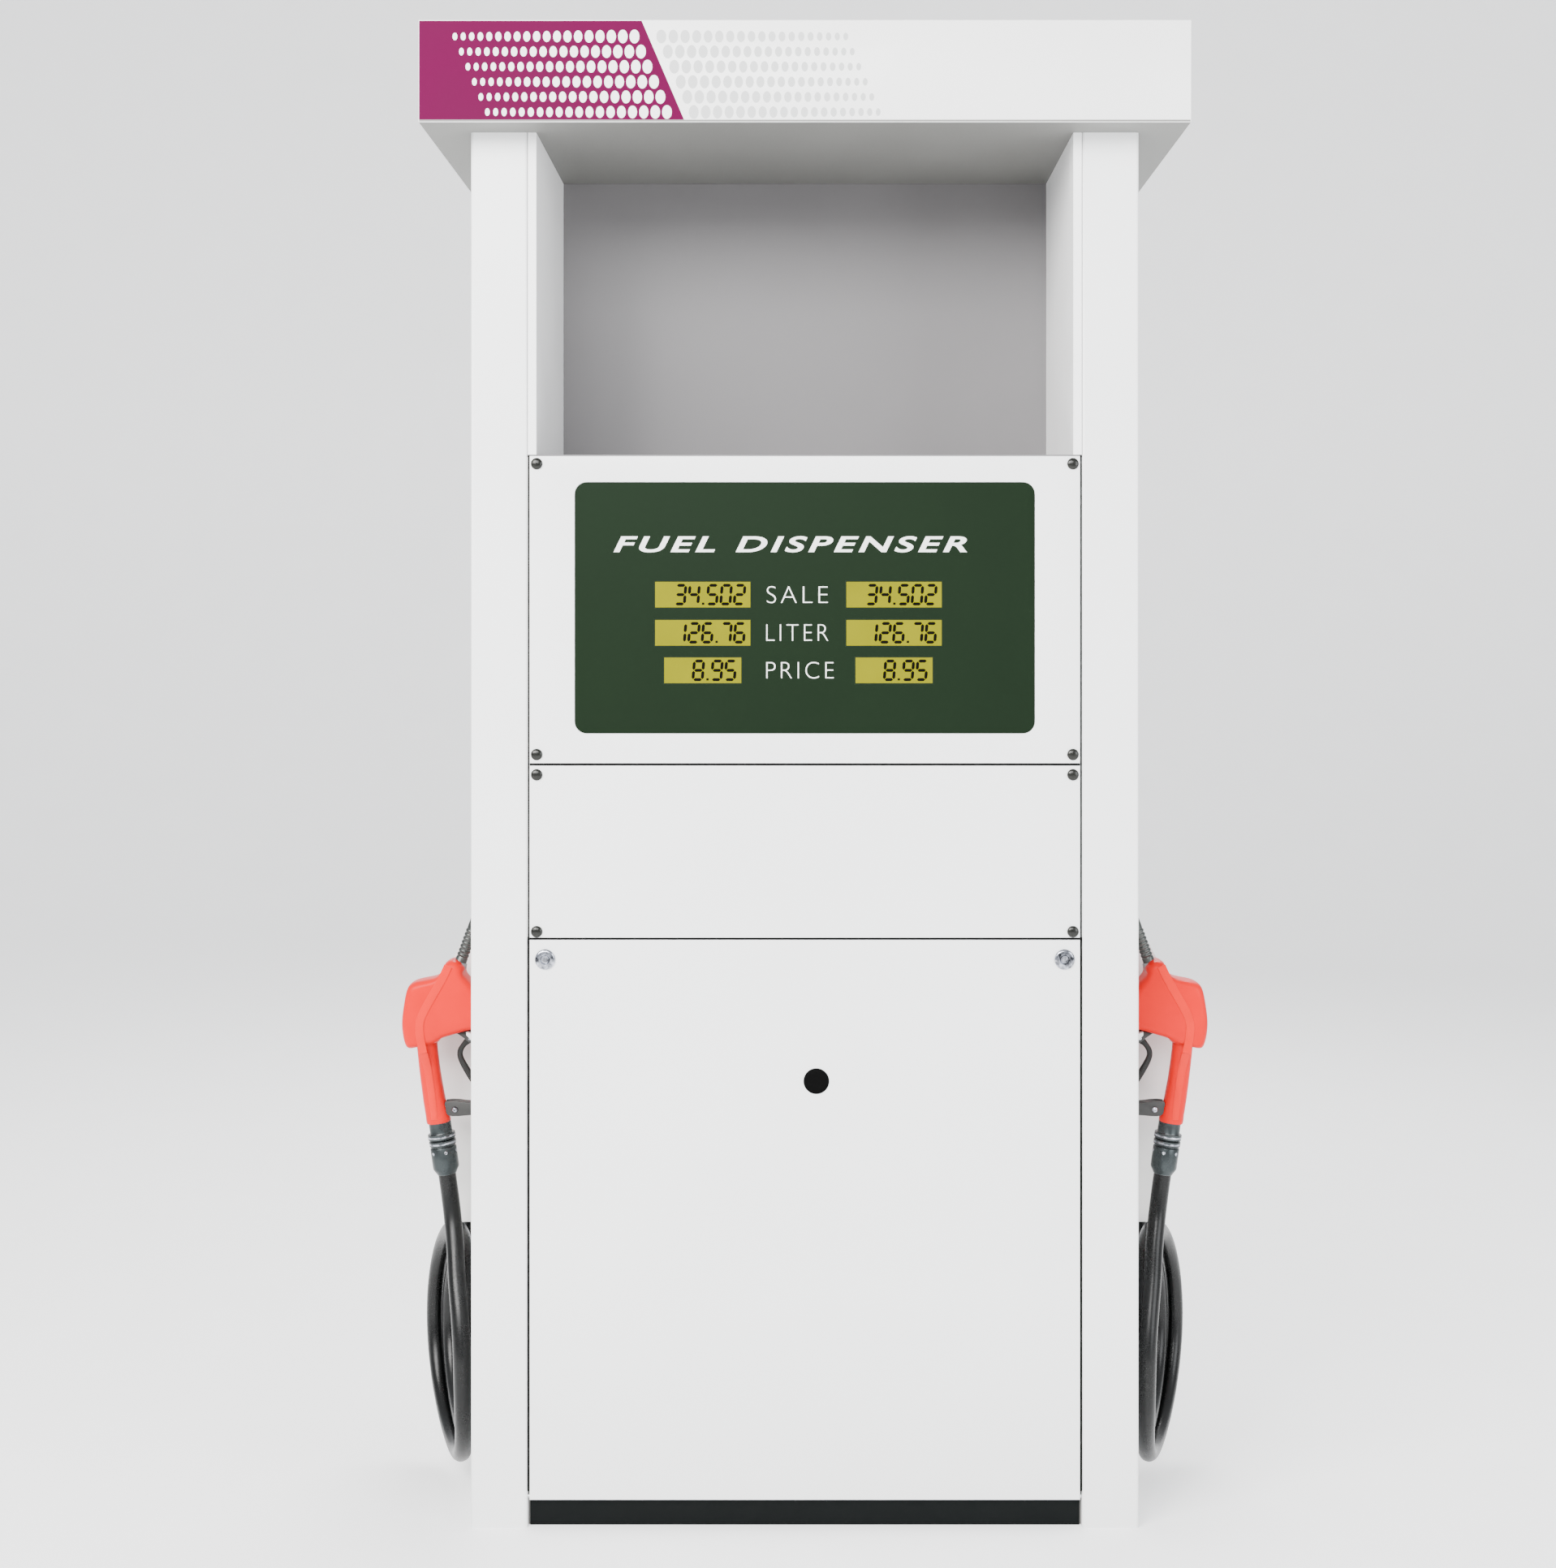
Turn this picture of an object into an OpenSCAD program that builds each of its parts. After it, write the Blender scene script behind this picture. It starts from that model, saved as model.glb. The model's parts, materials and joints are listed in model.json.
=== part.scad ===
// Two-hose fuel dispenser. Millimetres, +Z up, the front faces -Y, origin at the centre of the base.
// The side pieces are drawn for the right side (+X) and mirrored for the left.

/* [Cabinet] */
// Overall width over the two pillars
cabinet_w = 988; // [980:1:1000]
// Overall depth of the cabinet
cabinet_d = 374; // [370:1:380]
// Width of each pillar
pillar_w = 84; // [82:1:86]
// Height of the pillars, up to the head
pillar_h = 2064; // [2040:1:2090]
// Thickness of the folded sheet panels
sheet = 1.5; // [1.2:0.1:2]

/* [Front] */
// Height of the top edge of the kick plate
kick_top = 38.5; // [36:0.5:38.5]
// Height of the top edge of the lower door
door_top = 870; // [860:1:875]
// Height of the top edge of the middle panel
middle_top = 1128; // [1120:1:1135]
// Height of the top edge of the display panel, which is the floor of the niche
display_top = 1586; // [1580:1:1600]
// Width of the display window's opening
window_w = 681; // [660:1:690]
// Height of the display window's opening
window_h = 372; // [350:1:380]

/* [Head] */
// Width of the head
head_w = 1120; // [1100:2:1140]
// Depth of the head
head_d = 506; // [480:2:520]
// Height of the head
head_h = 148; // [140:1:160]

/* [Nozzle] */
// Distance of the nozzle in front of the middle of the cabinet
nozzle_y = -60; // [-62:1:-58]
// Outer radius of the spout
spout_r = 9; // [8:0.5:9]
// Length of the spout beyond the nozzle's neck
spout_len = 178; // [150:1:180]

/* [Hose] */
// Outer radius of the hose
hose_r = 13.5; // [12.5:0.5:13.5]
// Turns of the coil that hangs on the hook
coil_turns = 2.5; // [2.5]
// Sides of the hose tube
hose_sides = 10; // [8:1:12]

/* [Drive] */
// Pitch radius of the motor pulley
motor_pulley_r = 38; // [34:1:40]
// Pitch radius of the pump pulley
pump_pulley_r = 76; // [70:1:80]

/* [Hidden] */
SIDES = ["left", "right"];
$fn = 64;

half_w = cabinet_w / 2;
half_d = cabinet_d / 2;
pillar_in = half_w - pillar_w;
panel_half = pillar_in - 2.5;
panel_gap = 2.5;
pillar_wall = 2;
door_z0 = kick_top + panel_gap;
door_return = 18;
stiffener_x = 200;
stiffener_w = 40;
stiffener_t = 8;
rail_strip = 22;
rail_top = kick_top - 0.5;

// Niche
niche_half = pillar_in - 13;
liner_y = half_d - 5;

// Door hinge: two pins at the bottom corners
hinge_y = -half_d + 5;
hinge_z = door_z0 + 5;
hinge_pin_r = 3;
run = 0.05;

// Cam locks
lock_x = 384;
lock_z = 841;
lock_r = 15;
lock_hole_r = 9;
lock_core_r = 6;
cam_y = -half_d + door_return + 0.5;
cam_t = 3;
cam_len = 36;

// Panel screws
screw_x = 396.5;
screw_head_r = 8;
screw_r = 3;
front_shank = 12;
rear_shank = 4.4;
front_screw_z = [882, 1114, 1144, 1574];
rear_screw_z = [70, 580, 1108, 1150, 1600, 2040];
plug_x = 17;
plug_z = 661;
plug_r = 19;

// Display
window_z = 1361;
window_r = 18;
lens_t = 3;
lcd_w = 141;
lcd_small_w = 114;
lcd_h = 38;
lcd_x = [-151, 132];
lcd_z = [1380.5, 1324, 1268.5];

// Base frame: a ring of rails, two inner rails that carry the pump and the motor, and a meter shelf on posts
rail = 40;
frame_y = half_d - 14;
inner_rail_y = [[-50, -10], [40, 80]];
anchor_x = 345;
anchor_y = 108;
anchor_r = 8;
anchor_pad = 60;
anchor_t = 6;
shelf_z = 420;
shelf_t = 6;
post_x = 360;

// Boxes inside: the controller under the niche floor, and the junction box on the left pillar's wall
controller_half = 160;
controller_y = [-80, 60];
controller_h = 140;
junction_w = 90;
junction_y = [-60, 40];
junction_z = [650, 780];
gland_r = 8;
gland_x = -350;
gland_z = 625;
gland_len = 30;

// Drive: motor, belt and pump, with both shafts at one height
drive_y = -118;
shaft_z = 170;
shaft_r = 9;
motor_x = -210;
motor_r = 80;
motor_front = -80;
motor_len = 220;
fan_cover_len = 25;
fin_h = 6;
fin_t = 3;
foot_half = 65;
belt_gap = 0.6;
belt_w = 12;
groove_depth = 5;
pulley_half_w = 12;
pump_x = 40;
pump_half = 60;
pump_y = [-55, 66];
pump_face_r = 72;
pump_foot_half = 80;
pump_foot_t = 12;
filter_x = 95;
filter_y = 15;
filter_r = 44;
filter_h = 240;
riser_r = 30;
riser_h = 130;

// Hydraulics
meter_x = 215;
meter_y = 70;
meter_flange_r = 62;
meter_flange_h = 20;
meter_body_r = 48;
meter_body_h = 60;
counter_r = 34;
counter_h = 50;
cylinder_r = 26;
valve_half = 22;
coil_r = 20;
manifold_y = 30;
manifold_z = 370;
manifold_r = 17;
suction_x = 40;
suction_y = 107;
suction_r = 24.15;
outlet_y = 160;
outlet_z = 528;
line_r = 14;

// Nozzle, in the plane of its side view: u outwards along X, v up
lean = 8;
spout_lean = 20;
handle_end = [561, 575];
neck = [527.4, 822.7];
core_half = 26;
body_half = 30;
handle_half = 18;
handle_core_r = 11.5;
trigger_pin = [513, 703];
trigger_pin_r = 3;
spigot_r = 9;
spigot_len = 15;
swivel_len = 82;

// Boot
boot_t = 3;
pocket_z0 = 843;
pocket_z1 = 1062;
pocket_in = 422;
pocket_half = 44;
pocket_wall = 2;
flap_pin = [433, 1046];
flap_pin_r = 2.5;
flap_len = 106;

// Hose coil: front, back, lowest and highest reach of its first turn
coil_front = -148;
coil_back = 190;
coil_low = 46;
coil_high = 382;
turn_pitch = 29;
back_step = 16;
coil_u = 512.5;
coil_fan = 110;
fan_step = 28;
rings_per_turn = 18;
coil_mid = (coil_low + coil_high + turn_pitch / 2) / 2;
hook_y = 32;
hook_w = 40;
hook_r = 116;
hook_t = 6;
hook_lip = 19;
hook_end = 557;

// The hose's straight-hanging stretches, in u (outwards), Y and Z: from the swivel down to the coil's
// front, and from the coil's back up to the outlet elbow
lead = [
    [handle_end[0] - (swivel_len + 0.01) * sin(lean), nozzle_y, handle_end[1] - (swivel_len + 0.01) * cos(lean)],
    [545, -61, 462], [539.5, -67, 425], [533, -84, 386], [527, -107, 345],
    [519.5, -129, 300], [514.5, -143, 258]
];
riser = [[549, 157, 300], [544.5, 159, 361], [533, 160, 425], [522, outlet_y, 479]];

// ---------------------------------------------------------------- helpers

// Puts a right-side piece on its side
module on_side(side) {
    if (side == "right") children();
    else mirror([1, 0, 0]) children();
}

// A box from its lowest to its highest corner
module box(low, high) {
    translate(low) cube(high - low);
}

// An outline in the XZ plane, extruded from y0 to y1
module slab(y0, y1) {
    translate([0, y1, 0]) rotate([90, 0, 0]) linear_extrude(y1 - y0) children();
}

// An outline in the YZ plane, extruded from x0 to x1
module slice(x0, x1) {
    translate([x0, 0, 0]) rotate([90, 0, 90]) linear_extrude(x1 - x0) children();
}

// Round bar along X, Y or Z, from a point
module bar_x(at, r, len) {
    translate(at) rotate([0, 90, 0]) cylinder(r = r, h = len);
}

module bar_y(at, r, len) {
    translate(at) rotate([-90, 0, 0]) cylinder(r = r, h = len);
}

module bar_z(at, r, len) {
    translate(at) cylinder(r = r, h = len);
}

// A rectangle with round corners, about its centre
module round_rect(w, h, r) {
    square([w - 2 * r, h], center = true);
    square([w, h - 2 * r], center = true);
    for (sx = [-1, 1], sy = [-1, 1])
        translate([sx * (w / 2 - r), sy * (h / 2 - r)]) circle(r);
}

// A flat sheet facing the front or the rear, with a folded edge at each height in folds
module folded_panel(z0, z1, facing, folds) {
    outer = facing * half_d;
    skin = facing * (half_d - sheet);
    back = facing * (half_d - door_return);
    fold_half = pillar_in - rail_strip - 2;
    box([-panel_half, min(outer, skin), z0], [panel_half, max(outer, skin), z1]);
    for (z = folds)
        box([-fold_half, min(outer, back), z], [fold_half, max(outer, back), z + sheet]);
}

// A turned shape: its outline is [radius, length] pairs, and it starts at a point along a direction
// in the XZ plane, given as the angle from straight down towards the cabinet
module turned(at, y, angle, outline) {
    translate([at[0], y, at[1]]) rotate([0, 180 + angle, 0]) rotate_extrude() polygon(outline);
}

// ---------------------------------------------------------------- frame and casings

module base_frame() color("dimgray") difference() {
    union() {
        difference() {
            box([-pillar_in, -frame_y, 0], [pillar_in, frame_y, rail_top]);
            box([-pillar_in + rail, -frame_y + rail, -1], [pillar_in - rail, frame_y - rail, rail_top + 1]);
        }
        for (y = inner_rail_y)
            box([-pillar_in + rail, y[0], 0], [pillar_in - rail, y[1], rail_top]);
        for (sx = [-1, 1], sy = [-1, 1])
            translate([sx * anchor_x, sy * anchor_y, anchor_t / 2])
                cube([anchor_pad, anchor_pad, anchor_t], center = true);
        for (sx = [-1, 1])
            box([sx * post_x - rail / 2, meter_y - rail / 2, 0],
                [sx * post_x + rail / 2, meter_y + rail / 2, shelf_z]);
        box([-post_x - rail / 2, meter_y - 60, shelf_z - shelf_t], [post_x + rail / 2, meter_y + 60, shelf_z]);
    }
    for (sx = [-1, 1], sy = [-1, 1])
        bar_z([sx * anchor_x, sy * anchor_y, -1], anchor_r, anchor_t + 2);
    for (sx = [-1, 1])
        bar_z([sx * meter_x, manifold_y, shelf_z - shelf_t - 1], manifold_r, shelf_t + 2);
}

// The right-hand pillar: a folded column, with the rails that the panels are screwed to
module pillar() color("whitesmoke") difference() {
    union() {
        translate([half_w - pillar_w / 2, 0, 0]) linear_extrude(pillar_h) difference() {
            round_rect(pillar_w, cabinet_d, 4);
            square([pillar_w - 2 * pillar_wall, cabinet_d - 2 * pillar_wall], center = true);
        }
        box([pillar_in - rail_strip, -half_d + sheet, door_top + 4],
            [pillar_in + 1, -half_d + sheet + 2, display_top - 2]);
        box([pillar_in - rail_strip, half_d - sheet - 2, door_z0], [pillar_in + 1, half_d - sheet, pillar_h - 2]);
    }
    box([half_w - 10, nozzle_y - pocket_half, pocket_z0], [half_w + 10, nozzle_y + pocket_half, pocket_z1]);
    bar_x([pillar_in - 5, hinge_y, hinge_z], hinge_pin_r, 20);
    bar_x([pillar_in - 5, outlet_y, outlet_z], line_r, pillar_w + 10);
    box([pillar_in - 1, cam_y - 2, lock_z - 28], [pillar_in + pillar_wall + 1, cam_y + cam_t + 2, lock_z + 10]);
    for (z = front_screw_z)
        bar_y([screw_x, -half_d, z], screw_r, 10);
    for (z = rear_screw_z)
        bar_y([screw_x, half_d - 10, z], screw_r, 10);
}

// The right-hand wall of the niche, with the narrow strip that faces the front
module niche_wall() color("gainsboro") {
    box([niche_half, -half_d, display_top + sheet], [niche_half + sheet, liner_y, pillar_h]);
    box([niche_half, -half_d, display_top + sheet], [pillar_in - 0.3, -half_d + sheet, pillar_h]);
}

module niche_liner() color("gray") {
    box([-niche_half, liner_y - sheet, display_top], [niche_half, liner_y, pillar_h]);
    box([-panel_half, -half_d, display_top], [panel_half, liner_y, display_top + sheet]);
}

module kick_plates() color("#1f2727")
    for (side = [-1, 1])
        box([-panel_half, side * (half_d - 13) - 1, 0], [panel_half, side * (half_d - 13) + 1, kick_top]);

module lower_door() color("whitesmoke") difference() {
    union() {
        folded_panel(door_z0, door_top, -1, [door_z0, door_top - sheet]);
        for (sx = [-1, 1])
            box([sx * (panel_half - sheet / 2) - sheet / 2, -half_d, door_z0],
                [sx * (panel_half - sheet / 2) + sheet / 2, -half_d + door_return, door_top]);
        for (x = [-stiffener_x, stiffener_x])
            box([x - stiffener_w / 2, -half_d + sheet, door_z0 + 40],
                [x + stiffener_w / 2, -half_d + sheet + stiffener_t, door_top - 40]);
    }
    for (sx = [-1, 1]) {
        bar_x([sx * panel_half - 5, hinge_y, hinge_z], hinge_pin_r + run, 10);
        bar_y([sx * lock_x, -half_d - 1, lock_z], lock_hole_r, 5);
    }
    bar_y([plug_x, -half_d - 1, plug_z], plug_r - 4, 5);
}

module door_pins() color("silver")
    for (side = SIDES)
        on_side(side) bar_x([panel_half - 6, hinge_y, hinge_z], hinge_pin_r, pillar_in - panel_half + 10);

module door_plug() color("#151515")
    translate([plug_x, -half_d, plug_z]) rotate([90, 0, 0]) rotate_extrude()
        polygon([[0, -4], [plug_r - 6, -4], [plug_r - 4, -3], [plug_r - 4, 0], [plug_r, 0], [plug_r, 1.5],
                 [plug_r - 1.5, 2.5], [0, 2.5]]);

module lock_barrels() color("silver")
    for (side = SIDES)
        on_side(side) translate([lock_x, -half_d, lock_z]) rotate([90, 0, 0]) rotate_extrude()
            polygon([[lock_core_r + run, -14], [lock_hole_r, -14], [lock_hole_r, 0], [lock_r, 0], [lock_r, 2],
                     [lock_r - 2, 4], [lock_core_r + run, 4]]);

// Turning core of a cam lock: key slot in front, cam behind, hanging down when unlocked
module lock_plug() color("lightgray") difference() {
    union() {
        bar_y([lock_x, -half_d - 4, lock_z], lock_core_r, cam_y + cam_t + half_d + 4);
        bar_y([lock_x, cam_y, lock_z], 9, cam_t);
        box([lock_x - 7, cam_y, lock_z - cam_len], [lock_x + 7, cam_y + cam_t, lock_z]);
    }
    box([lock_x - 1, -half_d - 5, lock_z - 4], [lock_x + 1, -half_d - 1, lock_z + 4]);
}

module middle_panel() color("whitesmoke") difference() {
    folded_panel(door_top + panel_gap, middle_top, -1, [door_top + panel_gap, middle_top - sheet]);
    for (sx = [-1, 1], z = front_screw_z)
        bar_y([sx * screw_x, -half_d - 1, z], screw_r, 5);
}

module display_panel() color("whitesmoke") difference() {
    folded_panel(middle_top + panel_gap, display_top, -1, [middle_top + panel_gap, display_top - sheet]);
    slab(-half_d - 1, -half_d + 5) translate([0, window_z]) round_rect(window_w, window_h, window_r);
    for (sx = [-1, 1], z = front_screw_z)
        bar_y([sx * screw_x, -half_d - 1, z], screw_r, 5);
}

module display_window() color("#3a4639")
    slab(-half_d + sheet, -half_d + sheet + lens_t)
        translate([0, window_z]) round_rect(window_w + 20, window_h + 20, window_r);

module lcd_modules() color("#bdb829")
    for (x = lcd_x, row = [0, 1, 2])
        translate([x, -half_d + sheet + lens_t + 4, lcd_z[row]])
            cube([row == 2 ? lcd_small_w : lcd_w, 8, lcd_h], center = true);

module display_board() color("darkgreen")
    box([-300, -half_d + sheet + lens_t + 8, window_z - 150], [300, -half_d + sheet + lens_t + 10, window_z + 120]);

// A dome-headed machine screw, pointing into the cabinet
module panel_screw(facing, shank) rotate([90, 0, facing > 0 ? 180 : 0]) rotate_extrude()
    polygon([[0, -shank], [screw_r, -shank], [screw_r, 0], [screw_head_r, 0], [screw_head_r, 1.5],
             [screw_head_r - 2, 3.5], [screw_head_r - 5, 4.5], [0, 4.5]]);

module panel_screws() color("#33352a")
    for (sx = [-1, 1]) {
        for (z = front_screw_z)
            translate([sx * screw_x, -half_d, z]) panel_screw(-1, front_shank);
        for (z = rear_screw_z)
            translate([sx * screw_x, half_d, z]) panel_screw(1, rear_shank);
    }

module rear_panel(z0, z1, folds) color("whitesmoke") difference() {
    folded_panel(z0, z1, 1, folds);
    for (sx = [-1, 1], z = rear_screw_z)
        bar_y([sx * screw_x, half_d - 4, z], screw_r, 5);
}

// Sheet hood of the head: top and two ends
module head_cover() color("white") {
    z0 = pillar_h + sheet;
    z1 = pillar_h + head_h;
    y = head_d / 2 - 3;
    box([-head_w / 2 + sheet, -y, z1 - sheet], [head_w / 2 - sheet, y, z1]);
    for (sx = [-1, 1])
        box([sx * (head_w / 2 - sheet / 2) - sheet / 2, -y, z0], [sx * (head_w / 2 - sheet / 2) + sheet / 2, y, z1]);
}

module fascia(facing) color(facing < 0 ? "#a93075" : "white")
    translate([0, facing * (head_d / 2 - 1.5), pillar_h + head_h / 2])
        cube([head_w, 3, head_h], center = true);

module head_soffit() color("#888885")
    box([-head_w / 2, -head_d / 2 + 3, pillar_h], [head_w / 2, head_d / 2 - 3, pillar_h + sheet]);

// ---------------------------------------------------------------- inside the cabinet

module controller_box() color("lightgray")
    box([-controller_half, controller_y[0], display_top - controller_h],
        [controller_half, controller_y[1], display_top]);

module junction_box() color("gray") difference() {
    union() {
        box([-pillar_in, junction_y[0], junction_z[0]], [-pillar_in + junction_w, junction_y[1], junction_z[1]]);
        bar_z([gland_x, 0, gland_z], gland_r + 6, gland_len);
    }
    bar_z([gland_x, 0, gland_z - 5], gland_r, gland_len + 25);
}

// V-belt pulley about a shaft along Y, at the drive plane
module pulley(x, r, shaft_to) {
    translate([x, drive_y, shaft_z]) rotate([-90, 0, 0]) rotate_extrude()
        polygon([[0, -pulley_half_w], [r + groove_depth, -pulley_half_w], [r + groove_depth, -belt_w / 2 - 2],
                 [r - groove_depth, -4], [r - groove_depth, 4], [r + groove_depth, belt_w / 2 + 2],
                 [r + groove_depth, pulley_half_w], [0, pulley_half_w]]);
    bar_y([x, drive_y, shaft_z], shaft_r, shaft_to - drive_y);
}

module motor() color("steelblue") difference() {
    union() {
        bar_y([motor_x, motor_front, shaft_z], motor_r, motor_len);
        bar_y([motor_x, motor_front + motor_len, shaft_z], motor_r - 10, fan_cover_len);
        for (a = [0:30:330])
            translate([motor_x, motor_front + 20, shaft_z]) rotate([0, a, 0])
                box([motor_r - 2, 0, -fin_t / 2], [motor_r + fin_h, motor_len - 40, fin_t / 2]);
        box([motor_x - foot_half, motor_front + 30, rail_top],
            [motor_x + foot_half, motor_front + motor_len - 30, kick_top + 12]);
        box([motor_x - foot_half + 15, motor_front + 40, rail_top],
            [motor_x + foot_half - 15, motor_front + motor_len - 40, shaft_z]);
        box([motor_x - foot_half + 30, motor_front + 60, shaft_z + motor_r - 10],
            [motor_x + foot_half - 30, motor_front + motor_len - 80, shaft_z + motor_r + 40]);
    }
    bar_y([motor_x, motor_front - 1, shaft_z], shaft_r + run, 60);
}

module motor_pulley() color("dimgray") pulley(motor_x, motor_pulley_r, -40);

module pump_pulley() color("dimgray") pulley(pump_x, pump_pulley_r, -35);

// The belt wraps both pulleys on the two common outer tangents
module drive_belt() color("#202020") {
    span = pump_x - motor_x;
    tilt = asin((pump_pulley_r - motor_pulley_r) / span);
    slab(drive_y - 3.2, drive_y + 3.2) difference() {
        belt_outline(span, tilt, 3);
        belt_outline(span, tilt, belt_gap - groove_depth);
    }
}

module belt_outline(span, tilt, grow) {
    rm = motor_pulley_r + grow;
    rp = pump_pulley_r + grow;
    translate([motor_x, shaft_z]) circle(rm);
    translate([pump_x, shaft_z]) circle(rp);
    polygon([for (p = [[motor_x, rm, 1], [motor_x, rm, -1], [pump_x, rp, -1], [pump_x, rp, 1]])
        [p[0] - p[1] * sin(tilt), shaft_z + p[2] * p[1] * cos(tilt)]]);
}

module pump_unit() color("slategray") difference() {
    union() {
        box([pump_x - pump_foot_half, -70, rail_top], [pump_x + pump_foot_half, 75, rail_top + pump_foot_t]);
        box([pump_x - pump_half, pump_y[0], rail_top], [pump_x + pump_half, pump_y[1], shaft_z]);
        bar_y([pump_x, -62, shaft_z], pump_face_r, 142);
        bar_z([pump_x + filter_x, filter_y, rail_top + 40], filter_r, filter_h);
        box([pump_x, filter_y - 35, shaft_z - 50], [pump_x + filter_x, filter_y + 35, shaft_z + 60]);
        bar_z([pump_x, manifold_y, shaft_z], riser_r, riser_h);
        for (a = [30:60:330])
            translate([pump_x, 0, shaft_z]) rotate([0, a, 0]) bar_y([62, -68, 0], 6, 8);
    }
    bar_y([pump_x, -90, shaft_z], shaft_r + run, 60);
}

// Pipe from the pump's top to the undersides of both meters
module manifold() color("silver") {
    bar_z([pump_x, manifold_y, shaft_z + riser_h], manifold_r, manifold_z - shaft_z - riser_h);
    bar_x([-meter_x, manifold_y, manifold_z], manifold_r, 2 * meter_x);
    for (sx = [-1, 1]) {
        translate([sx * meter_x, manifold_y, manifold_z]) sphere(manifold_r);
        bar_z([sx * meter_x, manifold_y, manifold_z], manifold_r, shelf_z - manifold_z);
    }
}

module suction_pipe() color("gray") difference() {
    union() {
        bar_z([suction_x, suction_y, 2], suction_r, shaft_z - 2);
        bar_z([suction_x, suction_y, 58], suction_r + 14, 10);
        translate([suction_x, suction_y, shaft_z]) sphere(suction_r);
        bar_y([suction_x, 80, shaft_z], suction_r, suction_y - 80);
    }
    bar_z([suction_x, suction_y, 1], suction_r - 3, 80);
}

// Piston meter on the shelf, with its pulse counter on top
module meter() color("lightsteelblue") {
    body_z = shelf_z + meter_flange_h;
    bar_z([meter_x, meter_y, shelf_z], meter_flange_r, meter_flange_h);
    bar_z([meter_x, meter_y, body_z], meter_body_r, meter_body_h);
    for (a = [45:90:315])
        translate([meter_x, meter_y, body_z + meter_body_h / 2]) rotate([0, 0, a]) bar_x([30, 0, 0], cylinder_r, 42);
    bar_z([meter_x, meter_y, body_z + meter_body_h], counter_r, counter_h);
}

// Pipe from the meter through the pillar's inner wall to the hose outlet, with its solenoid valve
module delivery_line() color("silver") {
    bar_y([meter_x, meter_y + counter_r, outlet_z], line_r, outlet_y - meter_y - counter_r);
    translate([meter_x, outlet_y, outlet_z]) sphere(line_r);
    bar_x([meter_x, outlet_y, outlet_z], line_r, half_w - 24 - meter_x);
    box([meter_x + 45, outlet_y - valve_half, outlet_z - valve_half],
        [meter_x + 105, outlet_y + valve_half, outlet_z + valve_half]);
    bar_z([meter_x + 75, outlet_y, outlet_z + valve_half], coil_r, 50);
}

// ---------------------------------------------------------------- nozzle

module cover_outline() polygon([
    [500, 717], [513, 717], [537, 710], [556, 704], [564, 697], [600, 689], [608, 690], [611, 696],
    [614, 707], [616, 725], [615, 742], [611, 768], [607, 782], [602, 788], [591, 792], [567, 797],
    [557, 804], [551, 816], [548, 821], [538, 824], [528, 820], [521, 810], [523, 803], [513, 791], [500, 775]
]);

module handle_outline() polygon([
    [567, 705], [567, 684], [561, 658], [553, 620], [543.5, 578.6], [580.5, 573.4], [586, 620], [594, 687], [598, 705]
]);

// The casting inside the cover
module nozzle_core() {
    slab(nozzle_y - core_half, nozzle_y + core_half) polygon([
        [504, 721], [514, 721], [539, 714], [560, 707], [572, 694], [604, 694], [610, 708], [612, 726],
        [607, 766], [600, 784], [566, 792], [553, 800], [540, 806], [522, 796], [504, 772]
    ]);
    turned([583, 700], nozzle_y, atan2(583 - handle_end[0], 700 - handle_end[1]),
        [[0, -6], [handle_core_r, -6], [handle_core_r, 122], [0, 122]]);
}

module nozzle_cover() color("#fe5a42") difference() {
    union() {
        slab(nozzle_y - body_half, nozzle_y + body_half) cover_outline();
        slab(nozzle_y - handle_half, nozzle_y + handle_half) handle_outline();
    }
    nozzle_core();
    turned(handle_end, nozzle_y, lean, [[0, -20], [13, -20], [13, 5], [0, 5]]);
    turned(neck, nozzle_y, 180 - spout_lean, [[0, -40], [spout_r + 3, -40], [spout_r + 3, 10], [0, 10]]);
}

module nozzle_body() color("silver") difference() {
    union() {
        nozzle_core();
        turned(handle_end, nozzle_y, lean,
            [[0, -20], [13, -20], [13, -0.5], [spigot_r, -0.5], [spigot_r, spigot_len], [0, spigot_len]]);
        turned(neck, nozzle_y, 180 - spout_lean, [[0, -40], [spout_r + 3, -40], [spout_r + 3, 2], [0, 2]]);
    }
    turned(neck, nozzle_y, 180 - spout_lean, [[0, -25], [spout_r, -25], [spout_r, 5], [0, 5]]);
}

// Ribbed spout tube
module spout() color("gray")
    turned(neck, nozzle_y, 180 - spout_lean, concat(
        [[spout_r - 1.5, spout_len], [spout_r - 1.5, -25], [spout_r, -25]],
        [for (i = [0:3]) each [[spout_r - 0.6, 8 + 9 * i], [spout_r, 10 + 9 * i], [spout_r, 14 + 9 * i],
                               [spout_r - 0.6, 16 + 9 * i]]],
        [[spout_r - 0.6, spout_len]]));

module trigger() color("#33322f") difference() {
    union() {
        slab(nozzle_y - 4, nozzle_y + 4) polygon([
            [511, 709], [518, 705], [528, 693], [533, 684], [533, 672], [526, 656], [514, 636], [510, 631],
            [506, 637], [511, 649], [520, 664], [525, 674], [525, 682], [519, 691], [508, 698]]);
        bar_y([trigger_pin[0], nozzle_y - 4, trigger_pin[1]], 7, 8);
    }
    bar_y([trigger_pin[0], nozzle_y - 5, trigger_pin[1]], trigger_pin_r + run, 10);
}

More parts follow.
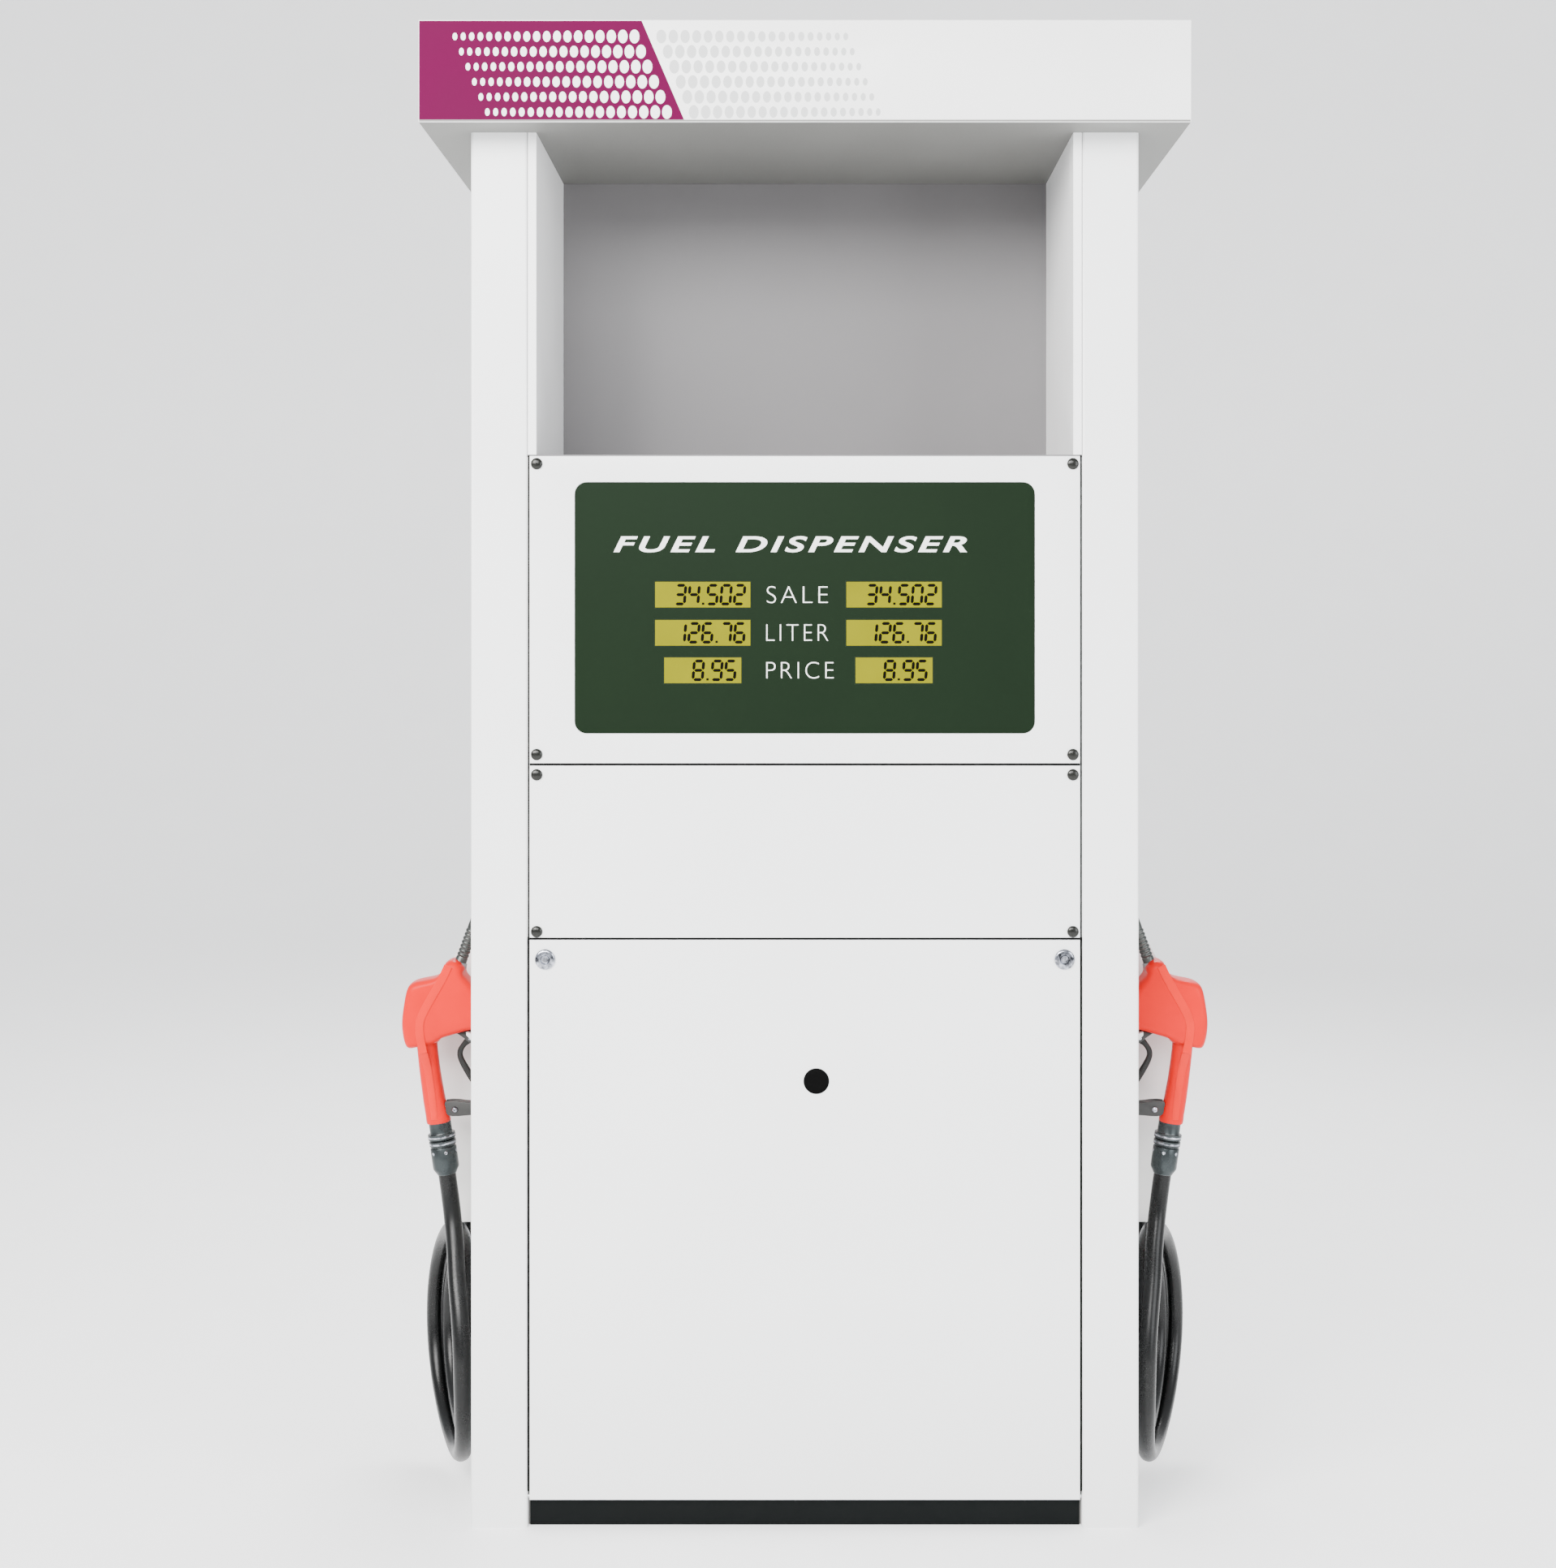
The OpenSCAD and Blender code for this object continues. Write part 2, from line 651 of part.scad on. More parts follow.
// Guard round the trigger: cheeks at the top with the trigger's pin, and an arm to the handle's end
module lever_guard() color("#6b6b69") {
    difference() {
        slab(nozzle_y - 11, nozzle_y + 11) difference() {
            polygon([[499, 717], [513, 717], [533, 711], [522, 702], [518, 696], [508, 694], [504, 686], [504, 610],
                     [512, 603], [544, 606], [541, 592], [536, 583], [506, 586], [499, 594]]);
            translate(trigger_pin) circle(trigger_pin_r);
        }
        slab(nozzle_y - 5, nozzle_y + 5) polygon([[503.5, 690], [503.5, 711], [560, 711], [560, 625], [503.5, 625]]);
    }
    slab(nozzle_y - 11, nozzle_y + 11) translate(trigger_pin) circle(trigger_pin_r);
    slab(nozzle_y - 14, nozzle_y + 14) translate([536, 594]) circle(4.2);
}

module swivel() color("#7f8a8c") turned(handle_end, nozzle_y, lean, [
    [spigot_r + run, 0], [17, 0], [17, 18.5], [21, 18.5], [21, 27.5], [19, 28], [19, 29], [20.5, 29.5],
    [20.5, 37.5], [18.5, 38], [18.5, 39.5], [20, 40], [20, 73], [14.5, swivel_len], [0, swivel_len],
    [0, spigot_len + 1], [spigot_r + run, spigot_len + 1]
]);

// ---------------------------------------------------------------- boot, hook and hose

module nozzle_boot() color("#c8c8c8") difference() {
    union() {
        difference() {
            union() {
                slice(half_w, half_w + boot_t) translate([nozzle_y + 3, 737]) round_rect(150, 680, 12);
                box([pocket_in, nozzle_y - pocket_half, pocket_z0], [half_w + 1, nozzle_y + pocket_half, pocket_z1]);
            }
            box([pocket_in + pocket_wall, nozzle_y - pocket_half + pocket_wall, pocket_z0 + pocket_wall],
                [half_w + 20, nozzle_y + pocket_half - pocket_wall, pocket_z1 - pocket_wall]);
        }
        slab(14, 18) polygon([[half_w, 400], [558, 400], [588, 675], [588, 757], [561, 796], [527, 863], [half_w, 905]]);
        slab(nozzle_y - 72, nozzle_y - 68) polygon([[half_w, 420], [502, 420], [502, 905], [half_w, 920]]);
        for (s = [-1, 1])
            slab(nozzle_y + s * 21 - 6, nozzle_y + s * 21 + 6)
                polygon([[half_w, 690], [half_w + 8, 696], [516, 711], [516, 715.5], [half_w, 708]]);
    }
    bar_y([flap_pin[0], nozzle_y - 60, flap_pin[1]], flap_pin_r + run, 120);
}

module boot_lever() color("#555555") {
    bar_y([flap_pin[0], nozzle_y - pocket_half + 0.5, flap_pin[1]], flap_pin_r, 2 * pocket_half - 1);
    slab(nozzle_y - 20, nozzle_y + 20) translate(flap_pin) rotate(spout_lean) {
        circle(5);
        translate([-1.5, -flap_len]) square([3, flap_len]);
        translate([0, -flap_len]) circle(2.5);
    }
}

module hose_outlet() color("#7f8a8c") {
    elbow = [512, outlet_z];
    bar_x([half_w - 24, outlet_y, outlet_z], line_r, elbow[0] - half_w + 24);
    bar_x([half_w, outlet_y, outlet_z], 20, 4);
    translate([elbow[0], outlet_y, elbow[1]]) sphere(15);
    turned(elbow, outlet_y, -atan2(522 - elbow[0], outlet_z - 479),
        [[0, 0], [15, 0], [15, 18], [17, 20], [17, norm([10, 49])], [0, norm([10, 49])]]);
}

// Saddle that the coil hangs over, with a low lip at its outer end
module hose_hook() color("#303030") {
    slice(half_w, hook_end) hook_sector(hook_r);
    slice(hook_end, hook_end + 4) hook_sector(hook_r + hook_lip);
    slice(half_w, half_w + 4) translate([hook_y, coil_mid + hook_r - 40]) round_rect(60, 110, 8);
}

module hook_sector(r_out) intersection() {
    translate([hook_y, coil_mid]) difference() {
        circle(r_out);
        circle(hook_r - hook_t);
    }
    translate([hook_y - hook_w / 2, coil_mid]) square([hook_w, 2 * hook_r]);
}

// A point on the coil, t turns after the front of its first turn
function coil_point(t) =
    let (a = 360 * t,
         front = coil_front + turn_pitch * t,
         back = coil_back - back_step * t,
         low = coil_low + turn_pitch * (t - 0.25),
         high = coil_high - turn_pitch * (t - 0.75),
         swing = pow((1 - cos(a)) / 2, 1.5))
    [coil_u + (coil_fan - fan_step * t) * swing,
     (front + back) / 2 - (back - front) / 2 * cos(a),
     (low + high) / 2 - (high - low) / 2 * sin(a)];

hose_path = concat(
    lead,
    [for (i = [0:rings_per_turn * coil_turns]) coil_point(i / rings_per_turn)],
    riser);

function unit(v) = v / norm(v);
function heading(path, i) = unit(path[min(i + 1, len(path) - 1)] - path[max(i - 1, 0)]);

// A tube swept along a path: each ring lies square to the path, and its first side follows the X axis
module tube(path, r, sides) {
    rings = [for (i = [0:len(path) - 1])
        let (along = i == 0 ? [-sin(lean), 0, -cos(lean)] : heading(path, i),
             across = unit(cross(along, cross([1, 0, 0], along))),
             other = cross(along, across))
        for (k = [0:sides - 1])
            path[i] + r * (cos(360 * k / sides) * across + sin(360 * k / sides) * other)];
    last = len(path) - 1;
    faces = concat(
        [[for (k = [0:sides - 1]) k]],
        [[for (k = [sides - 1:-1:0]) last * sides + k]],
        [for (i = [0:last - 1], k = [0:sides - 1])
            let (a = i * sides + k, b = i * sides + (k + 1) % sides)
            [a, a + sides, b + sides, b]]);
    polyhedron(rings, faces);
}

module hose() color("#2c3234") tube(hose_path, hose_r, hose_sides);

// ---------------------------------------------------------------- nodes

base_frame();
on_side("left") pillar();  // left_pillar
on_side("right") pillar();  // right_pillar
on_side("left") niche_wall();  // left_niche_wall
on_side("right") niche_wall();  // right_niche_wall
kick_plates();
lower_door();
door_pins();
door_plug();
lock_barrels();
on_side("left") lock_plug();  // left_lock_plug
on_side("right") lock_plug();  // right_lock_plug
middle_panel();
display_panel();
display_window();
display_board();
lcd_modules();
panel_screws();
rear_panel(middle_top + panel_gap, pillar_h, [middle_top + panel_gap]);  // rear_upper_panel
rear_panel(door_z0, middle_top, [door_z0, middle_top - sheet]);  // rear_lower_panel
niche_liner();
head_cover();
fascia(-1);  // front_fascia
fascia(1);  // rear_fascia
head_soffit();
controller_box();
junction_box();
pump_unit();
motor();
motor_pulley();
pump_pulley();
drive_belt();
manifold();
on_side("left") meter();  // left_meter
on_side("right") meter();  // right_meter
suction_pipe();
on_side("left") delivery_line();  // left_delivery_line
on_side("right") delivery_line();  // right_delivery_line
on_side("left") nozzle_boot();  // left_nozzle_boot
on_side("right") nozzle_boot();  // right_nozzle_boot
on_side("left") boot_lever();  // left_boot_lever
on_side("right") boot_lever();  // right_boot_lever
on_side("left") nozzle_cover();  // left_nozzle_cover
on_side("right") nozzle_cover();  // right_nozzle_cover
on_side("left") nozzle_body();  // left_nozzle_body
on_side("right") nozzle_body();  // right_nozzle_body
on_side("left") spout();  // left_spout
on_side("right") spout();  // right_spout
on_side("left") trigger();  // left_trigger
on_side("right") trigger();  // right_trigger
on_side("left") lever_guard();  // left_lever_guard
on_side("right") lever_guard();  // right_lever_guard
on_side("left") swivel();  // left_swivel
on_side("right") swivel();  // right_swivel
on_side("left") hose();  // left_hose
on_side("right") hose();  // right_hose
on_side("left") hose_outlet();  // left_hose_outlet
on_side("right") hose_outlet();  // right_hose_outlet
on_side("left") hose_hook();  // left_hose_hook
on_side("right") hose_hook();  // right_hose_hook
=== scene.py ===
"""Looks of the two-hose fuel dispenser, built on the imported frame. Metres; the front faces -Y.
The side pieces are drawn for the right side (+X) and mirrored for the left."""

import json
import math
import random

import bmesh
import bpy
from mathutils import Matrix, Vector
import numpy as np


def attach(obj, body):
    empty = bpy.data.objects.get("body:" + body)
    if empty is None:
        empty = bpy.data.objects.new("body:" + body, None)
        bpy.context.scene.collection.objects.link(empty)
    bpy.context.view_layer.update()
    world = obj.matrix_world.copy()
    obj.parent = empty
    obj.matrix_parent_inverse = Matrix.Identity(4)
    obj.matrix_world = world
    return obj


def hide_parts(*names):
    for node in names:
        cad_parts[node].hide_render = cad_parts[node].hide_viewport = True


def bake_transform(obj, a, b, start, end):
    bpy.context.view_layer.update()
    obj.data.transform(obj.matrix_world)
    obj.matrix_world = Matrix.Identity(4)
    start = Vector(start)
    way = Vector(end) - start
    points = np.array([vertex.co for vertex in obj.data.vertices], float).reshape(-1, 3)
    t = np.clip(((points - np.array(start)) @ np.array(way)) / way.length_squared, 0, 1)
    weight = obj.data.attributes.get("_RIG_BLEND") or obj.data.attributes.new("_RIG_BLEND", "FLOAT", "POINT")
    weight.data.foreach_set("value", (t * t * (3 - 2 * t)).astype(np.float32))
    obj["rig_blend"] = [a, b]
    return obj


random.seed(7)
MM = 0.001
SIDES = {"left": -1, "right": 1}

# Sizes and places of the frame's parts, in millimetres above and about the centre of the base
HALF_D = 187
KICK_TOP = 38.5
GAP = 2.5
DOOR_Z = (KICK_TOP + GAP, 870)
MIDDLE_Z = (DOOR_Z[1] + GAP, 1128)
DISPLAY_Z = (MIDDLE_Z[1] + GAP, 1586)
PANEL_HALF = 407.5
PANEL_T = 1.5
PANEL_BEND = 2.2
PANEL_RETURN = 16.5
FLANGE_HALF = 384
STIFFENER_X, STIFFENER_HALF, STIFFENER_T, STIFFENER_END = 200, 20, 8, 40
SCREW_X = 396.5
FRONT_SCREWS = (882, 1114, 1144, 1574)
REAR_SCREWS = (70, 580, 1108, 1150, 1600, 2040)
LOCK = (384, 841)
PLUG = (17, 661)
WINDOW = {"half_w": 340.5, "half_h": 186, "radius": 18, "z": 1361}
HEAD_W, HEAD_Z0, HEAD_Z1, HEAD_Y = 1120, 2064, 2212, -253
NOZZLE_Y = -60
HOSE_R = 13.5

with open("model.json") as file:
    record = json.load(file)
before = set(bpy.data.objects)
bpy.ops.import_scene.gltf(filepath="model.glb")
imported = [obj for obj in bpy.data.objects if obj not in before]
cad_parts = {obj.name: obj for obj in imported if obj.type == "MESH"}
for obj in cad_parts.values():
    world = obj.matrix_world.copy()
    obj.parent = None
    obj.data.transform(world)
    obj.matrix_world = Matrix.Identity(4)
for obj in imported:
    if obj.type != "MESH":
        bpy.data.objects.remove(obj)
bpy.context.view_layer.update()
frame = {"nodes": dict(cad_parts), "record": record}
scene = bpy.context.scene

# ------------------------------------------------------------------ camera

camera_data = bpy.data.cameras.new("camera")
camera_data.lens = 50.7
camera_data.shift_x = -0.0171
camera_data.shift_y = -0.0921
camera = bpy.data.objects.new("camera", camera_data)
camera.location = (0, -3.453, 1.314)
camera.rotation_euler = (math.pi / 2, 0, 0)
scene.collection.objects.link(camera)
scene.camera = camera

# ------------------------------------------------------------------ mesh helpers


def finish_mesh(name, bm, material, smooth_angle=35):
    """Turns a bmesh drawn in millimetres into an object in metres."""
    bmesh.ops.remove_doubles(bm, verts=bm.verts, dist=0.002)
    bmesh.ops.recalc_face_normals(bm, faces=bm.faces)
    bmesh.ops.scale(bm, vec=(MM, MM, MM), verts=bm.verts)
    limit = math.radians(smooth_angle)
    for face in bm.faces:
        face.smooth = True
    for edge in bm.edges:
        if len(edge.link_faces) == 2 and edge.calc_face_angle(0) > limit:
            edge.smooth = False
    mesh = bpy.data.meshes.new(name)
    bm.to_mesh(mesh)
    bm.free()
    mesh.materials.append(material)
    made = bpy.data.objects.new(name, mesh)
    scene.collection.objects.link(made)
    return made


def place(made, body, replaced=()):
    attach(made, body)
    if replaced:
        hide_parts(*replaced)
    return made


def smooth_outline(points, steps=3, sharp=()):
    """Rounds a closed outline with a Catmull-Rom curve; the corners numbered in sharp stay as they are."""
    out = []
    n = len(points)
    for i in range(n):
        p0, p1, p2, p3 = (Vector(points[(i + k) % n]) for k in (-1, 0, 1, 2))
        if i in sharp:
            p0 = p1 - (p2 - p1)
        if (i + 1) % n in sharp:
            p3 = p2 + (p2 - p1)
        for s in range(steps):
            t = s / steps
            out.append(0.5 * (2 * p1 + (p2 - p0) * t + (2 * p0 - 5 * p1 + 4 * p2 - p3) * t * t
                              + (3 * p1 - p0 - 3 * p2 + p3) * t ** 3))
    return [(p[0], p[1]) for p in out]


def shrink(outline, by):
    """Moves each corner of an outline inwards along its own normal."""
    area = sum(a[0] * b[1] - b[0] * a[1] for a, b in zip(outline, outline[1:] + outline[:1]))
    turn = 1 if area > 0 else -1
    out = []
    n = len(outline)
    for i in range(n):
        before, here, after = (Vector(outline[(i + k) % n]) for k in (-1, 0, 1))
        a = (here - before).normalized() if (here - before).length > 1e-6 else Vector((0, 0))
        b = (after - here).normalized() if (after - here).length > 1e-6 else a
        normal = Vector((-(a + b)[1], (a + b)[0])) * turn
        if normal.length > 1e-6:
            normal.normalize()
        grow = 1 / max(0.55, normal.dot(Vector((-a[1], a[0])) * turn))
        out.append(tuple(here + normal * by * grow))
    return out


def resample(outline, count):
    """The same closed outline with evenly spaced points."""
    points = [Vector(p) for p in outline] + [Vector(outline[0])]
    along = [0.0]
    for a, b in zip(points, points[1:]):
        along.append(along[-1] + (b - a).length)
    out, k = [], 0
    for i in range(count):
        want = along[-1] * i / count
        while along[k + 1] < want:
            k += 1
        out.append(tuple(points[k].lerp(points[k + 1],
                                        (want - along[k]) / max(1e-9, along[k + 1] - along[k]))))
    return out


def relax(outline, amount=0.3):
    """Evens an outline out a little, so that it doesn't fold over itself as it shrinks."""
    n = len(outline)
    return [tuple((1 - amount) * Vector(p)
                  + amount / 2 * (Vector(outline[i - 1]) + Vector(outline[(i + 1) % n])))
            for i, p in enumerate(outline)]


def round_rect(half_w, half_h, radius, z):
    """A rectangle with round corners, about X 0 and a height."""
    x, up = half_w - radius, half_h - radius
    out = []
    for cx, cz, start in ((x, up, 0), (-x, up, 90), (-x, -up, 180), (x, -up, 270)):
        for k in range(9):
            a = math.radians(start + 90 * k / 8)
            out.append((cx + radius * math.cos(a), z + cz + radius * math.sin(a)))
    return out


def loft(bm, rings, close_ends=True):
    """Skins a list of rings that have the same number of points."""
    made = [[bm.verts.new(p) for p in ring] for ring in rings]
    n = len(made[0])
    for a, b in zip(made, made[1:]):
        for k in range(n):
            bm.faces.new((a[k], a[(k + 1) % n], b[(k + 1) % n], b[k]))
    if close_ends:
        for ring in (made[0], made[-1]):
            bm.faces.new(ring)
    return made


def pillow(bm, outline, y0, y1, radius, steps=4, side=1):
    """An outline in the XZ plane given thickness from y0 to y1, with its edges rounded over radius."""
    rings = []
    for k in range(steps + 1):
        a = math.pi / 2 * k / steps
        rings.append((shrink(outline, radius * (1 - math.sin(a))), y0 + radius * (1 - math.cos(a))))
    for k in range(steps, -1, -1):
        a = math.pi / 2 * k / steps
        rings.append((shrink(outline, radius * (1 - math.sin(a))), y1 - radius * (1 - math.cos(a))))
    loft(bm, [[(side * p[0], y, p[1]) for p in ring] for ring, y in rings])


def rounded_box(bm, low, high, radius, segments=2):
    made = bmesh.ops.create_cube(bm, size=1)["verts"]
    for v in made:
        for k in range(3):
            v.co[k] = low[k] if v.co[k] < 0 else high[k]
    edges = {e for v in made for e in v.link_edges}
    bmesh.ops.bevel(bm, geom=list(edges), offset=radius, segments=segments, affect="EDGES", profile=0.5)


def circle_round(centre, across, other, radius, sides):
    """A ring of points about a centre, in the plane of two directions."""
    return [centre + radius * (math.cos(2 * math.pi * k / sides) * across
                               + math.sin(2 * math.pi * k / sides) * other)
            for k in range(sides)]


def turned(bm, at, direction, outline, sides=48, close_ends=True):
    """A turned shape; its outline is (radius, length) pairs along a direction from a point. A ring's outline
    comes back to its start, and its ends aren't closed."""
    along = Vector(direction).normalized()
    across = along.orthogonal().normalized()
    other = along.cross(across)
    loft(bm, [circle_round(Vector(at) + along * length, across, other, max(r, 0.01), sides)
              for r, length in outline], close_ends)


def tube(bm, path, radius, sides=24):
    """A round tube along a path; its rings turn with the path without twisting."""
    path = [Vector(p) for p in path]
    along = (path[1] - path[0]).normalized()
    across = along.orthogonal().normalized()
    rings = []
    for i, p in enumerate(path):
        now = (path[min(i + 1, len(path) - 1)] - path[max(i - 1, 0)]).normalized()
        across = (across - now * across.dot(now)).normalized()
        rings.append(circle_round(p, across, now.cross(across), radius, sides))
    loft(bm, rings)


def curve_through(points, steps):
    """Catmull-Rom curve through points, ends included."""
    points = [Vector(p) for p in points]
    out = []
    for i in range(len(points) - 1):
        p1, p2 = points[i], points[i + 1]
        p0 = points[i - 1] if i else p1 - (p2 - p1)
        p3 = points[i + 2] if i + 2 < len(points) else p2 + (p2 - p1)
        for s in range(steps):
            t = s / steps
            out.append(0.5 * (2 * p1 + (p2 - p0) * t + (2 * p0 - 5 * p1 + 4 * p2 - p3) * t * t
                              + (3 * p1 - p0 - 3 * p2 + p3) * t ** 3))
    return out + [points[-1]]

# ------------------------------------------------------------------ materials

SLOTS = {}


def linear(colour):
    """A colour given as 0-255 display values, as linear light."""
    return tuple((c / 255 / 12.92 if c / 255 <= 0.04045 else ((c / 255 + 0.055) / 1.055) ** 2.4)
                 for c in colour) + (1,)


def surface(name, colour, rough=0.45, metallic=0.0, tone=0.05, tone_scale=6, grain=0.25, grain_scale=700,
            rough_range=0.08, edge_wear_and_highlight=None, edge_wear_and_highlight_amount=0.35, coat=0.0, specular=0.5, emit=0.0,
            stretch=(1, 1, 1), dirt=0.0):
    """A procedural finish: slow change of tone, fine grain in gloss and height, and edges mixed towards
    another colour, which is rubbed wear on most finishes and a painted highlight on the red cover and its
    strip.
    """
    material = bpy.data.materials.new(name)
    material.use_nodes = True
    tree = material.node_tree
    nodes, links = tree.nodes, tree.links
    shader = nodes["Principled BSDF"]
    where = nodes.new("ShaderNodeTexCoord")
    mapping = nodes.new("ShaderNodeMapping")
    mapping.inputs["Scale"].default_value = stretch
    links.new(where.outputs["Object"], mapping.inputs["Vector"])

    slow = nodes.new("ShaderNodeTexNoise")
    slow.inputs["Scale"].default_value = tone_scale
    slow.inputs["Detail"].default_value = 4
    links.new(mapping.outputs["Vector"], slow.inputs["Vector"])
    fine = nodes.new("ShaderNodeTexNoise")
    fine.inputs["Scale"].default_value = grain_scale
    fine.inputs["Detail"].default_value = 2
    links.new(mapping.outputs["Vector"], fine.inputs["Vector"])

    base = linear(colour)
    darker = tuple(c * (1 - tone) for c in base[:3]) + (1,)
    lighter = tuple(min(1, c * (1 + tone)) for c in base[:3]) + (1,)
    ramp = nodes.new("ShaderNodeValToRGB")
    ramp.color_ramp.elements[0].position = 0.32
    ramp.color_ramp.elements[1].position = 0.68
    ramp.color_ramp.elements[0].color = darker
    ramp.color_ramp.elements[1].color = lighter
    links.new(slow.outputs["Fac"], ramp.inputs["Fac"])
    shade = ramp.outputs["Color"]

    if dirt:
        # a little more grime towards the ground
        split = nodes.new("ShaderNodeSeparateXYZ")
        links.new(where.outputs["Object"], split.inputs["Vector"])
        low = nodes.new("ShaderNodeMapRange")
        low.inputs["From Min"].default_value = 0.35
        low.inputs["From Max"].default_value = 0.0
        low.inputs["To Max"].default_value = dirt
        links.new(split.outputs["Z"], low.inputs["Value"])
        patchy = nodes.new("ShaderNodeMath")
        patchy.operation = "MULTIPLY"
        links.new(low.outputs["Result"], patchy.inputs[0])
        links.new(slow.outputs["Fac"], patchy.inputs[1])
        grimy = nodes.new("ShaderNodeMix")
        grimy.data_type = "RGBA"
        grimy.inputs["B"].default_value = linear((120, 112, 100))
        links.new(patchy.outputs["Value"], grimy.inputs["Factor"])
        links.new(shade, grimy.inputs["A"])
        shade = grimy.outputs["Result"]

    gloss = nodes.new("ShaderNodeMapRange")
    gloss.inputs["From Min"].default_value = 0.3
    gloss.inputs["From Max"].default_value = 0.7
    gloss.inputs["To Min"].default_value = max(0.02, rough - rough_range)
    gloss.inputs["To Max"].default_value = min(1, rough + rough_range)
    mixed = nodes.new("ShaderNodeMath")
    mixed.operation = "MULTIPLY_ADD"
    mixed.inputs[1].default_value = 0.5
    links.new(fine.outputs["Fac"], mixed.inputs[0])
    half = nodes.new("ShaderNodeMath")
    half.operation = "MULTIPLY"
    half.inputs[1].default_value = 0.5
    links.new(slow.outputs["Fac"], half.inputs[0])
    links.new(half.outputs["Value"], mixed.inputs[2])
    links.new(mixed.outputs["Value"], gloss.inputs["Value"])
    roughness = gloss.outputs["Result"]

    # edges mixed towards the edge colour: rubbed wear on most finishes, and on the red cover and its strip a
    # painted highlight along the edges
    if edge_wear_and_highlight:
        rounded = nodes.new("ShaderNodeBevel")
        rounded.samples = 4
        rounded.inputs["Radius"].default_value = 0.0016
        geometry = nodes.new("ShaderNodeNewGeometry")
        dot = nodes.new("ShaderNodeVectorMath")
        dot.operation = "DOT_PRODUCT"
        links.new(rounded.outputs["Normal"], dot.inputs[0])
        links.new(geometry.outputs["Normal"], dot.inputs[1])
        edge = nodes.new("ShaderNodeMapRange")
        edge.inputs["From Min"].default_value = 0.995
        edge.inputs["From Max"].default_value = 0.86
        edge.inputs["To Max"].default_value = edge_wear_and_highlight_amount
        links.new(dot.outputs["Value"], edge.inputs["Value"])
        broken = nodes.new("ShaderNodeTexNoise")
        broken.inputs["Scale"].default_value = 60
        links.new(where.outputs["Object"], broken.inputs["Vector"])
        patch = nodes.new("ShaderNodeMath")
        patch.operation = "MULTIPLY"
        links.new(edge.outputs["Result"], patch.inputs[0])
        links.new(broken.outputs["Fac"], patch.inputs[1])
        worn_and_lit_edges = nodes.new("ShaderNodeMix")
        worn_and_lit_edges.data_type = "RGBA"
        worn_and_lit_edges.inputs["B"].default_value = linear(edge_wear_and_highlight)
        links.new(patch.outputs["Value"], worn_and_lit_edges.inputs["Factor"])
        links.new(shade, worn_and_lit_edges.inputs["A"])
        shade = worn_and_lit_edges.outputs["Result"]

    links.new(shade, shader.inputs["Base Color"])
    links.new(roughness, shader.inputs["Roughness"])
    shader.inputs["Metallic"].default_value = metallic
    shader.inputs["Specular IOR Level"].default_value = specular
    shader.inputs["Coat Weight"].default_value = coat
    # emit makes a surface glow in its own colour: on the white print this is painted light, on the floor it
    # keeps the backdrop evenly bright
    if emit:
        links.new(shade, shader.inputs["Emission Color"])
        shader.inputs["Emission Strength"].default_value = emit
    if grain:
        bump = nodes.new("ShaderNodeBump")
        bump.inputs["Strength"].default_value = grain
        bump.inputs["Distance"].default_value = 0.0004
        links.new(fine.outputs["Fac"], bump.inputs["Height"])
        links.new(bump.outputs["Normal"], shader.inputs["Normal"])
    SLOTS[name] = material
    return material


# cabinet and head
surface("white_paint", (244, 245, 245), rough=0.38, tone=0.018, tone_scale=3, grain=0.05, grain_scale=420,
        edge_wear_and_highlight=(190, 192, 192), edge_wear_and_highlight_amount=0.3, coat=0.12, dirt=0.22)
surface("grey_sheet", (108, 106, 107), rough=0.42, tone=0.03, grain=0.06, edge_wear_and_highlight=(150, 152, 154))
surface("niche_white", (250, 250, 250), rough=0.45, tone=0.02, grain=0.05, edge_wear_and_highlight=(170, 172, 172))
surface("soffit_grey", (118, 118, 115), rough=0.55, tone=0.04, grain=0.12, edge_wear_and_highlight=(170, 170, 168))
surface("black_paint", (4, 7, 7), rough=0.5, specular=0.1, tone=0.14, grain=0.18, edge_wear_and_highlight=(70, 72, 72),
        edge_wear_and_highlight_amount=0.4)
surface("fascia_print", (82, 0, 50), rough=0.55, specular=0.06, tone=0.03, tone_scale=9, grain=0.03,
        edge_wear_and_highlight=(176, 60, 120))
surface("fascia_white", (246, 246, 245), rough=0.4, tone=0.012, tone_scale=4, grain=0.03, edge_wear_and_highlight=(196, 196, 196),
        coat=0.2)
# display
surface("lens_green", (17, 30, 17), rough=0.62, tone=0.05, grain=0.015, edge_wear_and_highlight=(80, 94, 78), rough_range=0.05,
        specular=0.06)
surface("lcd", (112, 110, 0), rough=0.6, tone=0.04, tone_scale=20, grain=0.03, edge_wear_and_highlight=(140, 132, 0),
        specular=0.08)
surface("board", (30, 84, 48), rough=0.5, tone=0.12, tone_scale=30, edge_wear_and_highlight=(90, 130, 90))
# locks, screws and plug
surface("chrome", (150, 153, 162), rough=0.12, metallic=1, tone=0.85, tone_scale=150, grain=0.04,
        edge_wear_and_highlight=(236, 238, 242), edge_wear_and_highlight_amount=0.6, rough_range=0.05)
surface("zinc", (186, 188, 188), rough=0.42, metallic=0.9, tone=0.09, tone_scale=40, edge_wear_and_highlight=(224, 224, 224))
surface("screw_olive", (11, 12, 6), rough=0.24, metallic=0.2, tone=0.14, tone_scale=120, edge_wear_and_highlight=(122, 122, 108),
        edge_wear_and_highlight_amount=0.6)
surface("black_rubber", (2, 2, 2), rough=0.6, specular=0.05, tone=0.2, tone_scale=70, grain=0.3,
        edge_wear_and_highlight=(66, 66, 66))
